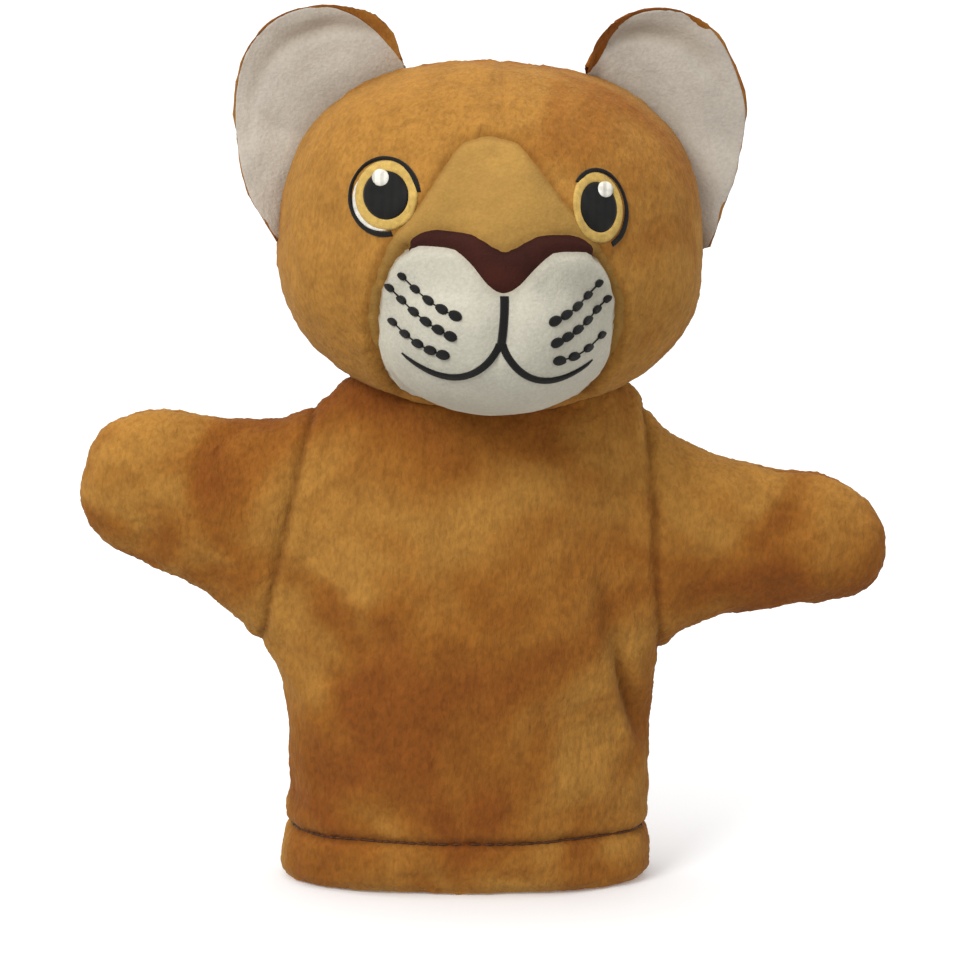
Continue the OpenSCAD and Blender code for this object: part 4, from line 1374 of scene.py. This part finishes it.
# whisker rows on one cheek, from the nose outwards: the first dot, the last dot, how many
WHISKERS = {"right": (((-12.0, -16.0), (-25.6, -7.6), 5), ((-13.0, -21.3), (-28.6, -11.0), 6),
                      ((-14.6, -26.4), (-27.5, -19.8), 5)),
            "left": (((13.6, -16.4), (25.6, -7.4), 5), ((14.4, -22.0), (28.2, -11.6), 6),
                     ((15.4, -26.8), (27.2, -21.2), 4))}


class PUPPET_OT_whiskers(bpy.types.Operator):
    """Embroider the rows of whisker dots and the thread that runs through each row"""

    bl_idname = "puppet.whiskers"
    bl_label = "Whiskers"

    def execute(self, context):
        face = Face()
        for side, rows in WHISKERS.items():
            bm = bmesh.new()
            for first, last, count in rows:
                a, b = Vector(first), Vector(last)
                sag = Vector((0, -1.1))
                line = lambda u: a.lerp(b, u) + sag * math.sin(math.pi * u)
                face.band(bm, line, lambda u: 0.2, 40, 4, 0.35 * sizes().thread)
                for k in range(count):
                    u = k / (count - 1)
                    half = mix(1.75, 1.2, u)
                    way = (line(min(1, u + 0.02)) - line(max(0, u - 0.02))).normalized()
                    face.band(bm, lambda t: line(u) + way * (2 * t - 1) * half,
                              lambda t: mix(1.35, 0.95, u) * math.sqrt(max(0.01, 1 - (2 * t - 1) ** 2)),
                              12, 8, sizes().thread)
            face.finish(bm, f"{side}_whiskers", "black_thread", black_thread, f"whisker_embroidery_{side}")
        return {"FINISHED"}


# ---- stage ----
class PUPPET_OT_stage(bpy.types.Operator):
    """Make the floor, the lights and the camera"""

    bl_idname = "puppet.stage"
    bl_label = "Stage"

    def execute(self, context):
        scene = context.scene
        bm = bmesh.new()
        bmesh.ops.create_grid(bm, x_segments=8, y_segments=64, size=4.0)
        bend_at, radius = 1.2, 1.0
        for v in bm.verts:
            past = v.co.y - bend_at
            turn = min(max(past / radius, 0), math.pi / 2)
            rise = max(past - radius * math.pi / 2, 0)
            v.co = Vector((v.co.x, min(v.co.y, bend_at) + radius * math.sin(turn),
                           radius * (1 - math.cos(turn)) + rise - 0.6 * MM))
        floor = new_object("floor", mesh_from(bm, "floor"))
        shade_smooth(floor.data)
        floor.data.materials.append(material("studio", studio_material))
        floor.visible_diffuse = False
        world = bpy.data.worlds.new("studio")
        world.use_nodes = True
        background = world.node_tree.nodes["Background"]
        background.inputs["Color"].default_value = (1, 1, 1, 1)
        background.inputs["Strength"].default_value = 0.62
        scene.world = world
        target = Vector((5.5 * MM, 0, 112 * MM))
        for name, shape, place, towards, size, power in (
                ("key", "DISK", (-0.6, -0.85, 0.85), target, 0.6, 8.9),
                ("top", "DISK", (-0.2, -0.1, 1.6), target, 1.2, 3.2),
                ("fill", "DISK", (0.9, -0.9, 0.4), target, 0.9, 1.0),
                ("backdrop", "SQUARE", (0, 0.9, 1.9), Vector((0, 2.0, 0.6)), 2.5, 26)):
            light = bpy.data.lights.new(name, "AREA")
            light.shape, light.size, light.energy = shape, size, power
            self.stand(bpy.data.objects.new(name, light), Vector(place), towards)
        camera = bpy.data.cameras.new("camera")
        camera.lens = 105.5
        camera.sensor_width = 36
        scene.camera = bpy.data.objects.new("camera", camera)
        away, down = 0.8, math.radians(9.5)
        self.stand(scene.camera, target + Vector((0, -away * math.cos(down), away * math.sin(down))), target)
        scene.view_settings.view_transform = "Standard"
        return {"FINISHED"}

    def stand(self, ob, place, towards):
        """Puts a lamp or the camera in its place, turned towards a point."""
        ob.location = place
        ob.rotation_euler = (towards - place).to_track_quat("-Z", "Y").to_euler()
        bpy.context.scene.collection.objects.link(ob)


class PUPPET_PT_panel(bpy.types.Panel):
    """The puppet's sizes, colours and pieces"""

    bl_idname = "PUPPET_PT_panel"
    bl_label = "Hand puppet"
    bl_space_type = "VIEW_3D"
    bl_region_type = "UI"
    bl_category = "Puppet"

    def draw(self, context):
        for group in (context.scene.puppet_sizes, context.scene.puppet_colours):
            column = self.layout.column()
            for key in group.__annotations__:
                column.prop(group, key)
        for operator in OPERATORS:
            self.layout.operator(operator.bl_idname)


OPERATORS = (PUPPET_OT_stage, PUPPET_OT_glove, PUPPET_OT_hem, PUPPET_OT_head, PUPPET_OT_ears, PUPPET_OT_eyes,
             PUPPET_OT_mouth, PUPPET_OT_whiskers)
CLASSES = (PuppetSizes, PuppetColours, *OPERATORS, PUPPET_PT_panel)


def register():
    for cls in CLASSES:
        bpy.utils.register_class(cls)
    bpy.types.Scene.puppet_sizes = PointerProperty(type=PuppetSizes)
    bpy.types.Scene.puppet_colours = PointerProperty(type=PuppetColours)


def unregister():
    del bpy.types.Scene.puppet_colours
    del bpy.types.Scene.puppet_sizes
    for cls in reversed(CLASSES):
        bpy.utils.unregister_class(cls)


def main():
    register()
    for operator in OPERATORS:
        group, name = operator.bl_idname.split(".")
        getattr(getattr(bpy.ops, group), name)()
    for name in ("glove_skin", "head_skin"):
        bpy.data.objects.remove(bpy.data.objects[name])


if __name__ == "__main__":
    main()
